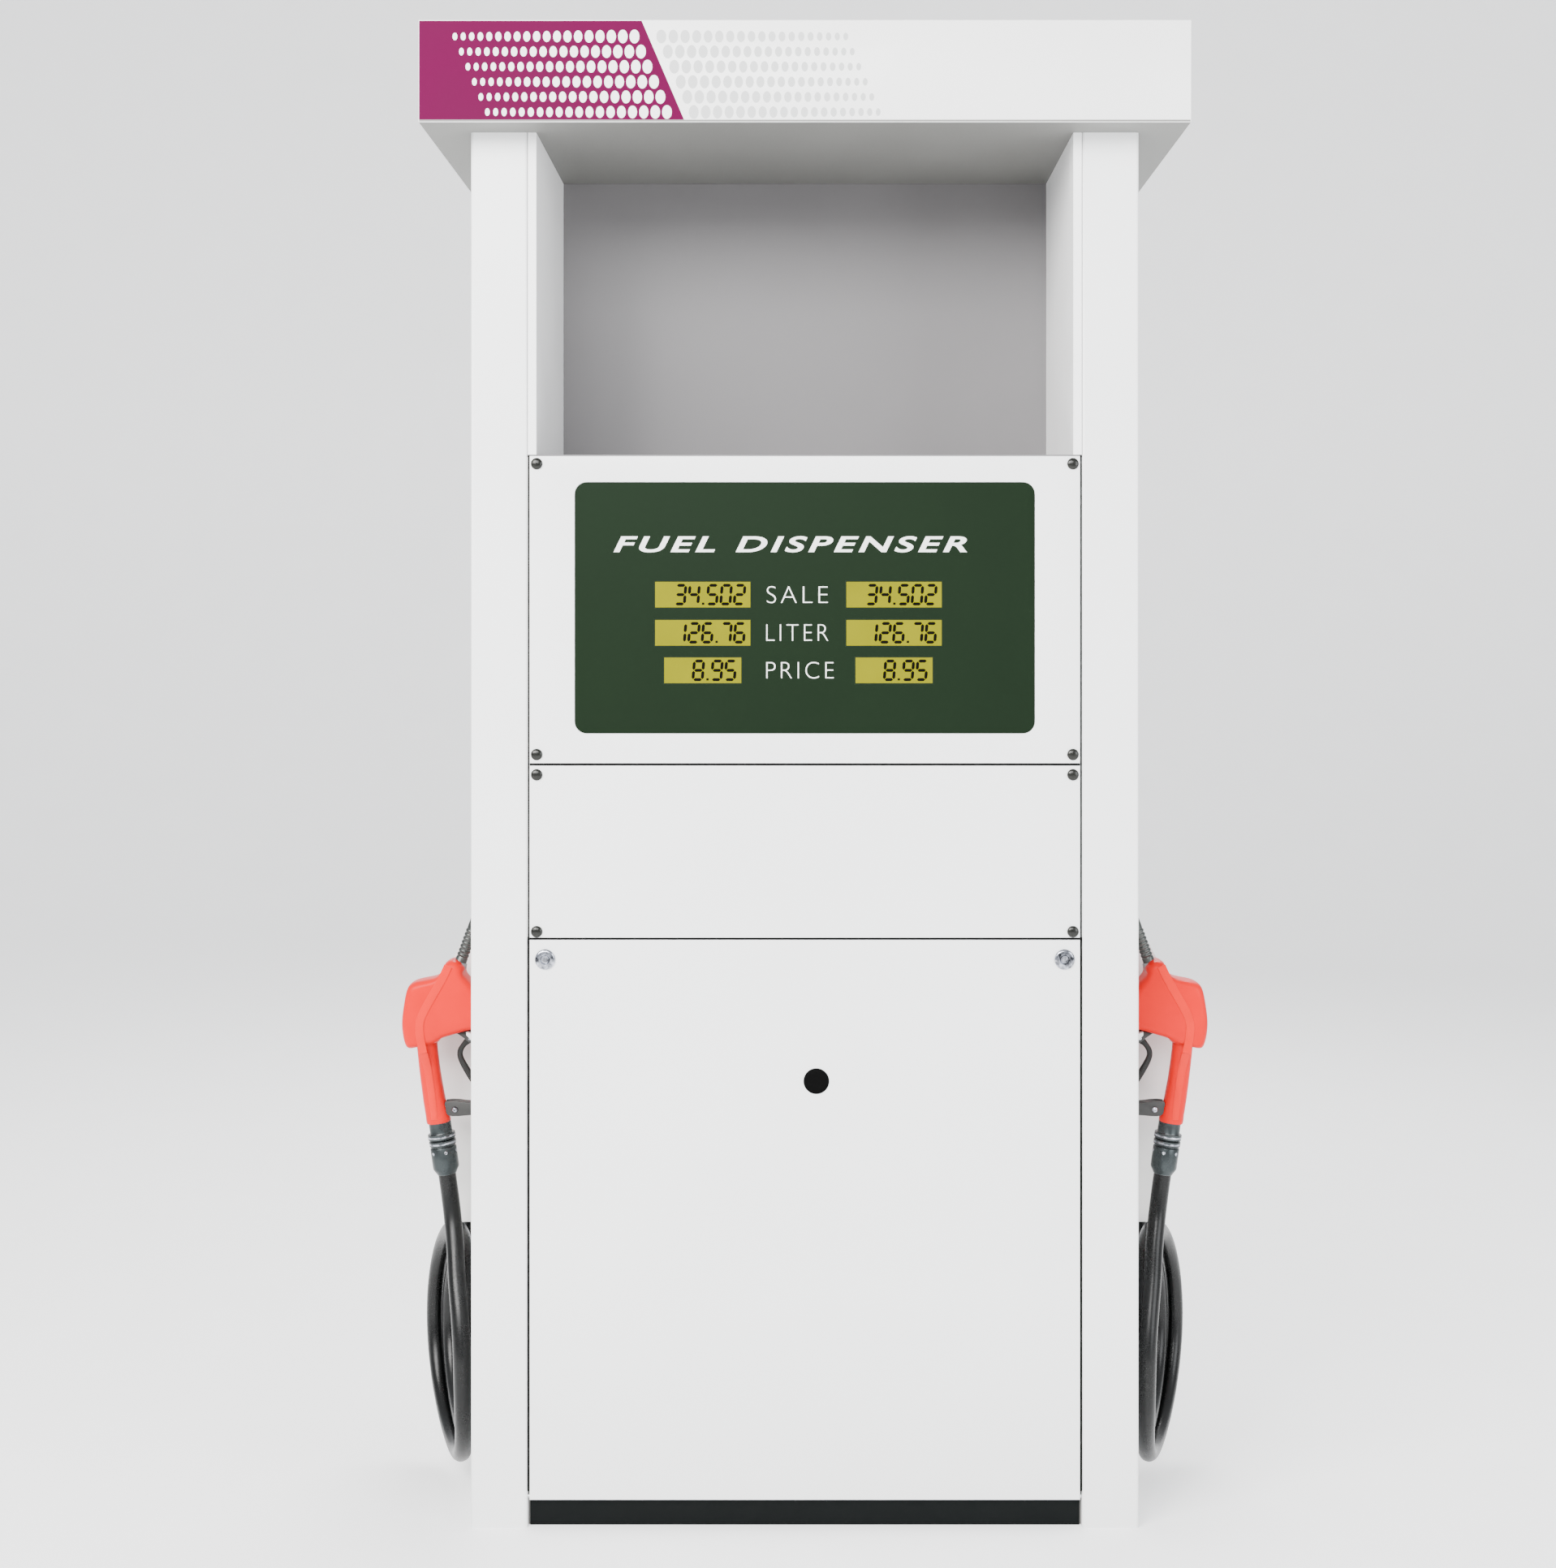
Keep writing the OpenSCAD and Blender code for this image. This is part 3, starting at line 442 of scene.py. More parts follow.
# boots, nozzles and hoses
surface("boot_grey", (224, 223, 221), rough=0.5, tone=0.035, tone_scale=12, grain=0.15, edge_wear_and_highlight=(158, 158, 158))
surface("boot_dark", (86, 87, 88), rough=0.5, tone=0.09, tone_scale=30, grain=0.25, edge_wear_and_highlight=(142, 142, 142))
# the cover's lighter edge colour is partly wear and partly a painted highlight along its edges
surface("cover_red", (206, 4, 0), rough=0.34, tone=0.05, tone_scale=16, grain=0.1, grain_scale=900,
        edge_wear_and_highlight=(240, 96, 76), edge_wear_and_highlight_amount=0.5, specular=0.12)
surface("cast_aluminium", (150, 152, 154), rough=0.5, metallic=0.85, tone=0.1, tone_scale=50, grain=0.5,
        grain_scale=1200, edge_wear_and_highlight=(206, 206, 206))
surface("spout_steel", (76, 78, 76), rough=0.34, metallic=0.9, tone=0.1, tone_scale=70, grain=0.12,
        edge_wear_and_highlight=(214, 214, 214), stretch=(1, 1, 0.3))
surface("trigger_black", (22, 21, 19), rough=0.46, specular=0.3, tone=0.12, tone_scale=60, grain=0.25,
        edge_wear_and_highlight=(112, 110, 106), edge_wear_and_highlight_amount=0.55)
surface("guard_grey", (50, 50, 49), rough=0.5, specular=0.3, tone=0.1, tone_scale=50, grain=0.3,
        edge_wear_and_highlight=(158, 158, 156))
surface("swivel_metal", (60, 65, 66), rough=0.3, metallic=0.95, tone=0.09, tone_scale=60, grain=0.1,
        edge_wear_and_highlight=(218, 220, 220))
surface("hose_rubber", (3, 4, 4), rough=0.3, specular=0.3, tone=0.16, tone_scale=28, grain=0.3,
        grain_scale=500, edge_wear_and_highlight=(52, 54, 55))
# inside the cabinet
surface("pump_iron", (96, 104, 112), rough=0.6, metallic=0.3, tone=0.14, tone_scale=30, grain=0.6,
        grain_scale=260, edge_wear_and_highlight=(150, 154, 158))
surface("motor_paint", (64, 96, 134), rough=0.45, tone=0.1, tone_scale=24, grain=0.3, edge_wear_and_highlight=(142, 152, 162))
surface("frame_paint", (72, 74, 76), rough=0.5, tone=0.12, tone_scale=18, grain=0.25, edge_wear_and_highlight=(134, 134, 132),
        dirt=0.5)
surface("box_paint", (176, 180, 182), rough=0.5, tone=0.05, tone_scale=20, grain=0.25, edge_wear_and_highlight=(128, 130, 132))
# finishes that only drawn pieces have
surface("digit_black", (2, 2, 1), rough=0.6, specular=0.05, tone=0.1, tone_scale=90, grain=0.02)
# the white print glows faintly through emit, a painted light
surface("glowing_print_white", (236, 238, 234), rough=0.35, tone=0.02, tone_scale=90, grain=0.02, emit=0.05)
surface("print_grey", (186, 187, 187), rough=0.32, tone=0.02, tone_scale=40, grain=0.02)
# a lighter copy of the cover's red for the raised strip: a painted highlight, the light that the raised strip
# catches
surface("cover_red_painted_highlight", (214, 22, 12), rough=0.34, tone=0.04, tone_scale=30, grain=0.1, grain_scale=900,
        edge_wear_and_highlight=(240, 96, 80), specular=0.12)

# ------------------------------------------------------------------ floor, backdrop and lights


def staged_room():
    """A pale floor that sweeps up into a backdrop."""
    bm = bmesh.new()
    profile = [(-9000, 0), (6000, 0)] + [
        (6000 + 2500 * math.sin(math.pi / 24 * k), 2500 - 2500 * math.cos(math.pi / 24 * k))
        for k in range(1, 13)
    ] + [(8500, 9000)]
    rows = []
    for y, z in profile:
        rows.append([bm.verts.new((x, y, z)) for x in (-9000, -3000, 0, 3000, 9000)])
    for a, b in zip(rows, rows[1:]):
        for k in range(4):
            bm.faces.new((a[k], a[k + 1], b[k + 1], b[k]))
    floor = finish_mesh("studio_floor", bm, surface("studio_pale", (243, 243, 243), rough=0.8, tone=0.01,
                                                    grain=0.0, emit=0.5), 80)


def area_light(name, at, aim, size, power, colour=(1, 1, 1)):
    data = bpy.data.lights.new(name, "AREA")
    data.shape = "RECTANGLE"
    data.size, data.size_y = size
    data.energy = power
    data.color = colour
    lamp = bpy.data.objects.new(name, data)
    lamp.location = at
    lamp.rotation_euler = (Vector(aim) - Vector(at)).to_track_quat("-Z", "Y").to_euler()
    scene.collection.objects.link(lamp)


staged_room()
world = bpy.data.worlds.new("studio")
scene.world = world
world.use_nodes = True
world.node_tree.nodes["Background"].inputs["Color"].default_value = (0.95, 0.97, 1, 1)
world.node_tree.nodes["Background"].inputs["Strength"].default_value = 1.1
area_light("key", (-2.6, -3.4, 3.3), (0, 0, 1.1), (2.6, 2.2), 370, (1, 0.985, 0.965))
area_light("fill", (3.2, -2.8, 1.9), (0, 0, 1.0), (2.4, 2.4), 120, (0.96, 0.98, 1))
area_light("front", (-0.8, -4.6, 3.4), (0, 0, 1.0), (3.0, 1.6), 230)
area_light("back", (0.6, 3.0, 3.6), (0, 0, 1.4), (3.0, 1.4), 220)

# ------------------------------------------------------------------ hoses

# The route's points from the CAD source: the lead strand from the swivel down, and the riser up to the outlet
LEAD = [(549.6, NOZZLE_Y, 493.8), (545, -61, 462), (539.5, -67, 425), (533, -84, 386), (527, -107, 345),
        (519.5, -129, 300), (514.5, -143, 258)]
RISER = [(549, 157, 300), (544.5, 159, 361), (533, 160, 425), (522, 160, 479)]
COIL_TURNS, PER_TURN = 2.5, 18


def coil_point(t):
    """A point on the coil, t turns after the front of its first turn."""
    a = 2 * math.pi * t
    front, back = -148 + 29 * t, 190 - 16 * t
    low, high = 46 + 29 * (t - 0.25), 382 - 29 * (t - 0.75)
    swing = ((1 - math.cos(a)) / 2) ** 1.5
    return (512.5 + (110 - 28 * t) * swing,
            (front + back) / 2 - (back - front) / 2 * math.cos(a),
            (low + high) / 2 - (high - low) / 2 * math.sin(a))


def hose(side):
    """The hose runs from the outlet elbow at the rear, down round the coil and up to the swivel."""
    sign = SIDES[side]
    coil = [coil_point(i / PER_TURN) for i in range(int(COIL_TURNS * PER_TURN) + 1)]
    corners = LEAD + coil + RISER
    path = [(sign * p[0], p[1], p[2]) for p in curve_through(corners, 4)]
    path.reverse()
    bm = bmesh.new()
    tube(bm, path, HOSE_R, 28)
    made = finish_mesh(side + "_hose_tube", bm, SLOTS["hose_rubber"], 60)
    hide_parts(side + "_hose")
    points = [tuple(c * MM for c in p) for p in path]
    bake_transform(made, "cabinet", side + "_nozzle", start=points[-30], end=points[-1])
    # the last half metre before the swivel gives way as the nozzle is lifted
    gripped, gives = 0.02, 0.5
    line = [Vector(p) for p in points]
    along = [0.0]
    for a, b in zip(line, line[1:]):
        along.append(along[-1] + (b - a).length)
    weights = made.data.attributes["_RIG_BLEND"]
    for i, ring in enumerate(nearest_rings(made, line)):
        t = min(1, max(0, 1 - (along[-1] - along[ring] - gripped) / gives))
        weights.data[i].value = t * t * (3 - 2 * t)


def nearest_rings(made, line):
    """For each vertex of a tube, the number of the point on its path that it was drawn round."""
    found = []
    for v in made.data.vertices:
        found.append(min(range(len(line)), key=lambda k: (line[k] - v.co).length_squared))
    return found


for side in SIDES:
    hose(side)

# ------------------------------------------------------------------ sheet panels

# how far an edge without a full fold bends back
EDGE_BACK = 3.2


def flange(bm, facing, z):
    """The folded edge behind a panel's face, from a height up."""
    near, far = sorted((facing * (HALF_D - PANEL_T), facing * (HALF_D - PANEL_RETURN)))
    rounded_box(bm, (-FLANGE_HALF, near, z), (FLANGE_HALF, far, z + PANEL_T), 0.4, 1)


def sheet_panel(name, node, z0, z1, body="cabinet", facing=-1, side_folds=False, folds=(True, True)):
    """A folded steel panel: a flat face whose edges bend back over a small radius."""
    bm = bmesh.new()
    outer = facing * HALF_D
    face_outline = [(-PANEL_HALF, z0), (PANEL_HALF, z0), (PANEL_HALF, z1), (-PANEL_HALF, z1)]
    rings = []
    steps = 4
    for k in range(steps + 1):
        a = math.pi / 2 * k / steps
        reach = shrink(face_outline, PANEL_BEND * (1 - math.sin(a)))
        rings.append([(p[0], outer - facing * PANEL_BEND * (1 - math.cos(a)), p[1]) for p in reach])
    back = PANEL_RETURN if side_folds else EDGE_BACK
    rings.append([(p[0], outer - facing * back, p[1]) for p in face_outline])
    inside = shrink(face_outline, PANEL_T)
    rings.append([(p[0], outer - facing * back, p[1]) for p in inside])
    rings.append([(p[0], outer - facing * PANEL_T, p[1]) for p in inside])
    loft(bm, rings)
    if side_folds:
        # two hat-shaped stiffeners down the door's back
        for x in (-STIFFENER_X, STIFFENER_X):
            rounded_box(bm, (x - STIFFENER_HALF, outer + PANEL_T, z0 + STIFFENER_END),
                        (x + STIFFENER_HALF, outer + PANEL_T + STIFFENER_T, z1 - STIFFENER_END), 2.5, 3)
    else:
        for on, z in zip(folds, (z0, z1 - PANEL_T)):
            if on:
                flange(bm, facing, z)
    made = finish_mesh(name, bm, SLOTS["white_paint"], 50)
    return place(made, body, (node,))


def display_panel():
    """The panel with the window's opening: its face is a grid of strips round a rounded hole."""
    z0, z1 = DISPLAY_Z
    wz, hw, hh, r = (WINDOW[key] for key in ("z", "half_w", "half_h", "radius"))
    hole = round_rect(hw, hh, r, wz)
    n = len(hole)
    # each point of the hole looks out to a point on the panel's edge
    edge = []
    for x, z in hole:
        dx, dz = x, z - wz
        if abs(dx) / (hw - r / 2) >= abs(dz) / (hh - r / 2):
            edge.append((math.copysign(PANEL_HALF, dx), wz + dz))
        else:
            edge.append((dx, z1 if dz > 0 else z0))
    for want in ((PANEL_HALF, z1), (-PANEL_HALF, z1), (-PANEL_HALF, z0), (PANEL_HALF, z0)):
        k = min(range(n), key=lambda i: (edge[i][0] - want[0]) ** 2 + (edge[i][1] - want[1]) ** 2)
        edge[k] = want
    bm = bmesh.new()
    lip = 1.2

    def pull(points, by, y):
        out = []
        for x, z in points:
            out.append((x - math.copysign(by, x) if abs(abs(x) - PANEL_HALF) < 0.01 else x, y,
                        z - by if abs(z - z1) < 0.01 else (z + by if abs(z - z0) < 0.01 else z)))
        return out

    rings = [[(x, y, z) for x, z in hole] for y in (-HALF_D + EDGE_BACK, -HALF_D + lip)]
    for k in range(4):
        a = math.pi / 2 * k / 3
        rings.append([(x, -HALF_D + lip * (1 - math.sin(a)), z)
                      for x, z in shrink(hole, -lip * (1 - math.cos(a)))])
    for k in range(5):
        a = math.pi / 2 * k / 4
        rings.append(pull(edge, PANEL_BEND * (1 - math.sin(a)), -HALF_D + PANEL_BEND * (1 - math.cos(a))))
    rings.append(pull(edge, 0, -HALF_D + EDGE_BACK))
    loft(bm, rings, close_ends=False)
    for z in (z0, z1 - PANEL_T):
        flange(bm, -1, z)
    made = finish_mesh("display_panel_sheet", bm, SLOTS["white_paint"], 50)
    place(made, "cabinet", ("display_panel",))


sheet_panel("lower_door_sheet", "lower_door", *DOOR_Z, body="lower_door", side_folds=True)
sheet_panel("middle_panel_sheet", "middle_panel", *MIDDLE_Z)
sheet_panel("rear_lower_sheet", "rear_lower_panel", DOOR_Z[0], MIDDLE_Z[1], facing=1)
sheet_panel("rear_upper_sheet", "rear_upper_panel", DISPLAY_Z[0], HEAD_Z0, facing=1, folds=(True, False))
display_panel()

# ------------------------------------------------------------------ small parts of the front


def screw_heads():
    """Plain dome-headed screws."""
    head, edge, rise, sides = 8.6, 0.8, 3.7, 40
    profile = [(3, -4.2), (3, 0), (head, 0), (head, edge)]
    profile += [(head * math.cos(math.radians(a)), edge + rise * math.sin(math.radians(a)))
                for a in range(9, 90, 9)] + [(0.3, edge + rise)]
    for facing, face_name, heights in ((-1, "front", FRONT_SCREWS), (1, "rear", REAR_SCREWS)):
        for side, sx in SIDES.items():
            for number, z in enumerate(heights):
                bm = bmesh.new()
                loft(bm, [[(r * math.cos(2 * math.pi * k / sides), up, r * math.sin(2 * math.pi * k / sides))
                           for k in range(sides)] for r, up in profile])
                for v in bm.verts:
                    v.co = Vector((sx * SCREW_X + v.co.x, facing * (HALF_D + v.co.y), z + v.co.z))
                name = f"panel_screw_{face_name}_{side}_{number + 1}"
                made = finish_mesh(name, bm, SLOTS["screw_olive"], 40)
                place(made, "cabinet", ("panel_screws",))


def locks():
    """Each lock has a ring that stays on the door, and a core with its key slot and cam that turns."""
    for side, sign in SIDES.items():
        bm = bmesh.new()
        front = (sign * LOCK[0], -HALF_D, LOCK[1])
        outline = [(6.1, -12), (9, -12), (9, 0), (15, 0), (15, 1.6), (14.6, 2.2), (13.6, 3.2), (12.2, 3.8),
                   (10.5, 4), (7.4, 4), (6.9, 3.6), (6.4, 2.6), (6.1, 2.4), (6.1, -12)]
        turned(bm, front, (0, -1, 0), outline, 56, close_ends=False)
        made = finish_mesh(side + "_lock_ring", bm, SLOTS["chrome"], 30)
        place(made, "lower_door", ("lock_barrels",))
        bm = bmesh.new()
        # the core's face is a ring of quads round the key slot
        slot_outline = []
        sides = 40
        for k in range(sides):
            a = 2 * math.pi * k / sides
            slot_outline.append((max(-0.8, min(0.8, 4 * math.cos(a))), max(-3.6, min(3.6, 5 * math.sin(a)))))
        disc = [(math.cos(2 * math.pi * k / sides), math.sin(2 * math.pi * k / sides)) for k in range(sides)]
        rings = [[(5.9 * x, 165, 5.9 * z) for x, z in disc], [(5.9 * x, 190.2, 5.9 * z) for x, z in disc],
                 [(5.5 * x, 190.8, 5.5 * z) for x, z in disc],
                 [(1.1 * x, 190.8, 1.03 * z) for x, z in slot_outline],
                 [(x, 190.4, z) for x, z in slot_outline], [(x, 187.4, z) for x, z in slot_outline]]
        loft(bm, [[(front[0] + p[0], -p[1], front[2] + p[2]) for p in ring] for ring in rings])
        pillow(bm, [(front[0] - 7, 806), (front[0] + 7, 806), (front[0] + 9, 841), (front[0] + 6, 849),
                    (front[0] - 6, 849), (front[0] - 9, 841)], -168.5, -165.5, 0.6, 2)
        made = finish_mesh(side + "_lock_core", bm, SLOTS["chrome"], 30)
        place(made, side + "_lock", (side + "_lock_plug",))


def plug():
    """The black plug in the middle of the door."""
    bm = bmesh.new()
    dome = [(13, -4), (15, -3), (15, 0), (18.4, 0), (19, 0.4), (19, 0.9)]
    dome += [(19 - 19 * (1 - math.cos(math.radians(a))), 0.9 + 1.6 * math.sin(math.radians(a))) for a in
             (18, 34, 48, 60, 70, 79)]
    turned(bm, (PLUG[0], -HALF_D, PLUG[1]), (0, -1, 0), dome, 56)
    place(finish_mesh("door_plug_dome", bm, SLOTS["black_rubber"], 40),
          "lower_door", ("door_plug",))


def seam_shade_strips():
    """Black strips that lie in the gaps between the panels, just below their faces: painted shade that darkens
    the gaps.
    They keep clear of the hinge pins and of the path of the door."""
    bm = bmesh.new()
    front = -HALF_D + 0.3
    for z0, z1 in ((DOOR_Z[1] + 0.1, MIDDLE_Z[0] + 0.5), (MIDDLE_Z[1] - 0.2, DISPLAY_Z[0] + 0.2)):
        rounded_box(bm, (-PANEL_HALF + 0.5, front, z0), (PANEL_HALF - 0.5, front + 0.8, z1), 0.2, 1)
    for sx in (-1, 1):
        middle, half = sx * (PANEL_HALF + GAP / 2), 1.15
        rounded_box(bm, (middle - half, front, 54), (middle + half, front + 2.7, DISPLAY_Z[1]), 0.3, 2)
    place(finish_mesh("panel_gap_shade_strips", bm, SLOTS["black_rubber"], 40), "cabinet")


screw_heads()
# black strips in the panel gaps paint the gaps' shade
seam_shade_strips()
locks()
plug()

# ------------------------------------------------------------------ nozzles

COVER = [(500, 717), (513, 717), (537, 710), (556, 704), (564, 697), (600, 689), (608, 690), (611, 696),
         (614, 707), (616, 725), (615, 742), (611, 768), (607, 782), (602, 788), (591, 792), (567, 797),
         (557, 804), (551, 816), (548, 821), (538, 824), (528, 820), (521, 810), (523, 803), (513, 791),
         (500, 775)]
STRIP = [(543, 817), (549, 804), (558, 787), (569, 768), (579, 750), (585, 736), (587, 722), (585, 704),
         (581, 684), (577, 660), (573, 636), (570, 614), (567, 592), (566, 580)]
GRIP_END = (561, NOZZLE_Y, 575)
LEAN = math.radians(8)
DOWN = (-math.sin(LEAN), 0, -math.cos(LEAN))
SPOUT_LEAN = math.radians(20)
UP = (-math.sin(SPOUT_LEAN), 0, math.cos(SPOUT_LEAN))
NECK = (527.4, NOZZLE_Y, 822.7)


def side_piece(side, name, bm, material, smooth_angle, body="nozzle", node=None):
    """Finishes a piece that was drawn for the right side, mirrored for the left, and places it on its body."""
    if SIDES[side] < 0:
        for v in bm.verts:
            v.co.x = -v.co.x
    made = finish_mesh(side + "_" + name, bm, SLOTS[material], smooth_angle)
    nodes = (side + "_" + node,) if node else ()
    place(made, side + "_" + body, nodes)


def band(points, half_width):
    """An outline that follows a line at half_width on each side."""
    line = curve_through([(p[0], p[1], 0) for p in points], 3)
    left, right = [], []
    for i, p in enumerate(line):
        along = (line[min(i + 1, len(line) - 1)] - line[max(i - 1, 0)]).normalized()
        w = half_width(i / (len(line) - 1))
        left.append((p.x - along.y * w, p.y + along.x * w))
        right.append((p.x + along.y * w, p.y - along.x * w))
    return left + right[::-1]


def domed_cover(bm):
    """The cover's shell: its outline shrinks and swells towards the two cheeks, with a soft round edge."""
    outline = resample(smooth_outline(COVER, 4, sharp=(0, 24)), 110)
    profile = [(11, 0), (17, 0.25), (21.6, 1.0), (24.8, 2.3), (27.2, 4.0), (28.9, 6.2), (29.8, 8.8), (30, 11)]
    insets, now, done = [], outline, 0
    for _, inset in profile:
        while done < inset - 0.01:
            step = min(0.5, inset - done)
            now = relax(shrink(now, step))
            done += step
        insets.append(now)
    rings = []
    for (y, _), points in reversed(list(zip(profile, insets))):
        rings.append([(p[0], NOZZLE_Y - y, p[1]) for p in points])
    for (y, _), points in zip(profile, insets):
        rings.append([(p[0], NOZZLE_Y + y, p[1]) for p in points])
    loft(bm, rings)


def handle(bm):
    """The grip: an oval tube from the cover down to the swivel, with a rolled lip at its end."""
    stations = [(581, 716, 16.5, 20), (580.6, 700, 15.6, 18.5), (579.5, 684, 15.4, 17.2),
                (577, 662, 15.6, 17), (573.5, 636, 16, 17.3), (569, 608, 16.8, 17.7), (564.6, 586, 17.6, 18),
                (563.2, 579.5, 18.4, 18.4), (562.2, 574.6, 18.4, 18.4), (561.9, 573.1, 17.4, 17.4),
                (561.8, 572.8, 14, 14)]
    rings = []
    sides = 40
    for u, v, a, b in stations:
        ring = []
        for k in range(sides):
            t = 2 * math.pi * k / sides
            c, s = math.cos(t), math.sin(t)
            across = math.copysign(abs(c) ** 0.86, c) * a
            ring.append((u + across * math.cos(LEAN), NOZZLE_Y + math.copysign(abs(s) ** 0.86, s) * b,
                         v - across * math.sin(LEAN)))
        rings.append(ring)
    loft(bm, rings)


def cover(side):
    bm = bmesh.new()
    domed_cover(bm)
    handle(bm)
    side_piece(side, "cover_shell", bm, "cover_red", 40, node="nozzle_cover")


def strip(side):
    """The raised strip runs from the neck down each cheek and on into the grip."""
    # the strips are drawn in a lighter copy of the cover's red, which paints a highlight along them
    for cheek, face in (("front", -1), ("rear", 1)):
        bm = bmesh.new()
        upper = band(STRIP[:9], lambda t: 6.3)
        y = NOZZLE_Y + face * 29.9
        pillow(bm, upper, min(y, y + face * 1.5), max(y, y + face * 1.5), 0.7, 3)
        side_piece(side, "cover_strip_" + cheek, bm, "cover_red_painted_highlight", 45)
    bm = bmesh.new()
    grip = curve_through([(p[0], 0, p[1]) for p in STRIP[8:]], 3)
    for face in (-1, 1):
        rings = []
        for i, p in enumerate(grip):
            t = i / (len(grip) - 1)
            w, lift = 6.3 - 1.6 * t, 17.1 + 1.2 * t
            start = 12.2 * max(0, 1 - t * 5)
            y = NOZZLE_Y + face * (lift + start)
            rings.append([(p.x + w * x, y + face * dy, p.z) for x, dy in
                          ((-1, -1.6), (-1, 0.2), (-0.86, 0.75), (0.86, 0.75), (1, 0.2), (1, -1.6))])
        loft(bm, rings)
    side_piece(side, "grip_strip", bm, "cover_red_painted_highlight", 45)


def casting(side):
    """The casting seen at the mouth of the cover, and the neck that holds the spout."""
    bm = bmesh.new()
    turned(bm, NECK, UP, [(9.5, -24), (11, -24), (11, -5), (10.4, -4), (9.3, -3.4)], 40)
    pillow(bm, smooth_outline([(505, 722), (514, 722), (539, 715), (560, 708), (572, 697), (602, 696),
                               (608, 708), (610, 726), (605, 765), (598, 781), (566, 790), (552, 798),
                               (540, 804), (522, 795), (505, 772)], 2), NOZZLE_Y - 25, NOZZLE_Y + 25, 4, 2)
    turned(bm, GRIP_END, DOWN, [(12.6, -20), (12.6, -1), (9, -0.6), (9, 14.6), (8.4, 15)], 40)
    side_piece(side, "nozzle_casting", bm, "cast_aluminium", 40, node="nozzle_body")


def spout(side):
    """The spout with its ribbed collar."""
    bm = bmesh.new()
    outline = [(7.5, 174), (7.5, -23), (9, -23), (9, 3)]
    for i in range(7):
        z = 5 + 6.4 * i
        outline += [(8.0, z), (8.7, z + 0.8), (9.2, z + 1.8), (9.2, z + 3.6), (8.7, z + 4.6), (8.0, z + 5.4)]
    outline += [(8.4, 52), (8.4, 150), (8.3, 174), (8.1, 177), (7.8, 178), (7.5, 177), (7.5, 174)]
    turned(bm, NECK, UP, outline, 44, close_ends=False)
    side_piece(side, "spout_tube", bm, "spout_steel", 40, node="spout")


def lever_guard(side):
    """Two cheeks at the top, a bar down the open side and an arm to the rivet."""
    bm = bmesh.new()
    bar = smooth_outline([(499, 716), (513, 716), (533, 710.4), (522, 703), (515, 697), (507.6, 692),
                          (504.4, 684), (504.4, 612), (512, 604.6), (530, 606.4), (551, 606), (550.6, 596),
                          (549, 587), (540, 583.4), (520, 584.6), (506, 586.4), (499.4, 594)],
                         2, sharp=(0, 1, 2))
    pillow(bm, bar, NOZZLE_Y - 10.6, NOZZLE_Y - 5.2, 1.6, 2)
    pillow(bm, bar, NOZZLE_Y + 5.2, NOZZLE_Y + 10.6, 1.6, 2)
    pillow(bm, [(499.6, 600), (504, 600), (504, 688), (499.6, 700)], NOZZLE_Y - 6, NOZZLE_Y + 6, 0.5, 1)
    pillow(bm, smooth_outline([(504, 604), (540, 604), (538, 588), (506, 589)], 2), NOZZLE_Y - 6, NOZZLE_Y + 6,
           0.5, 1)
    side_piece(side, "guard_casting", bm, "guard_grey", 40, node="lever_guard")
    bm = bmesh.new()
    for face in (-1, 1):
        head = [(4.6, 10.4), (4.6, 11.6), (4.2, 12.5), (3.2, 13.3), (1.9, 13.6), (1.7, 12.9), (0.9, 12.7)]
        turned(bm, (536, NOZZLE_Y, 594), (0, face, 0), head, 32)
        turned(bm, (513, NOZZLE_Y, 703), (0, face, 0),
               [(3, 8), (3, 10.8), (2.6, 11.6), (1.6, 12), (0.4, 12.1)], 28)
    side_piece(side, "guard_rivets", bm, "chrome", 40)


def trigger(side):
    """The trigger lever: a hooked bow with a rounded edge."""
    bm = bmesh.new()
    bow = smooth_outline([(509.6, 710), (518, 705.6), (528, 693), (533, 684), (533, 672), (526, 656),
                          (514, 636), (509.6, 631.4), (506.4, 636), (511, 649), (520, 664), (525, 674),
                          (525, 682), (519, 691), (508, 697.6), (506, 704)], 3)
    pillow(bm, bow, NOZZLE_Y - 4.6, NOZZLE_Y + 4.6, 2.4, 3)
    side_piece(side, "trigger_bow", bm, "trigger_black", 50, body="trigger", node="trigger")


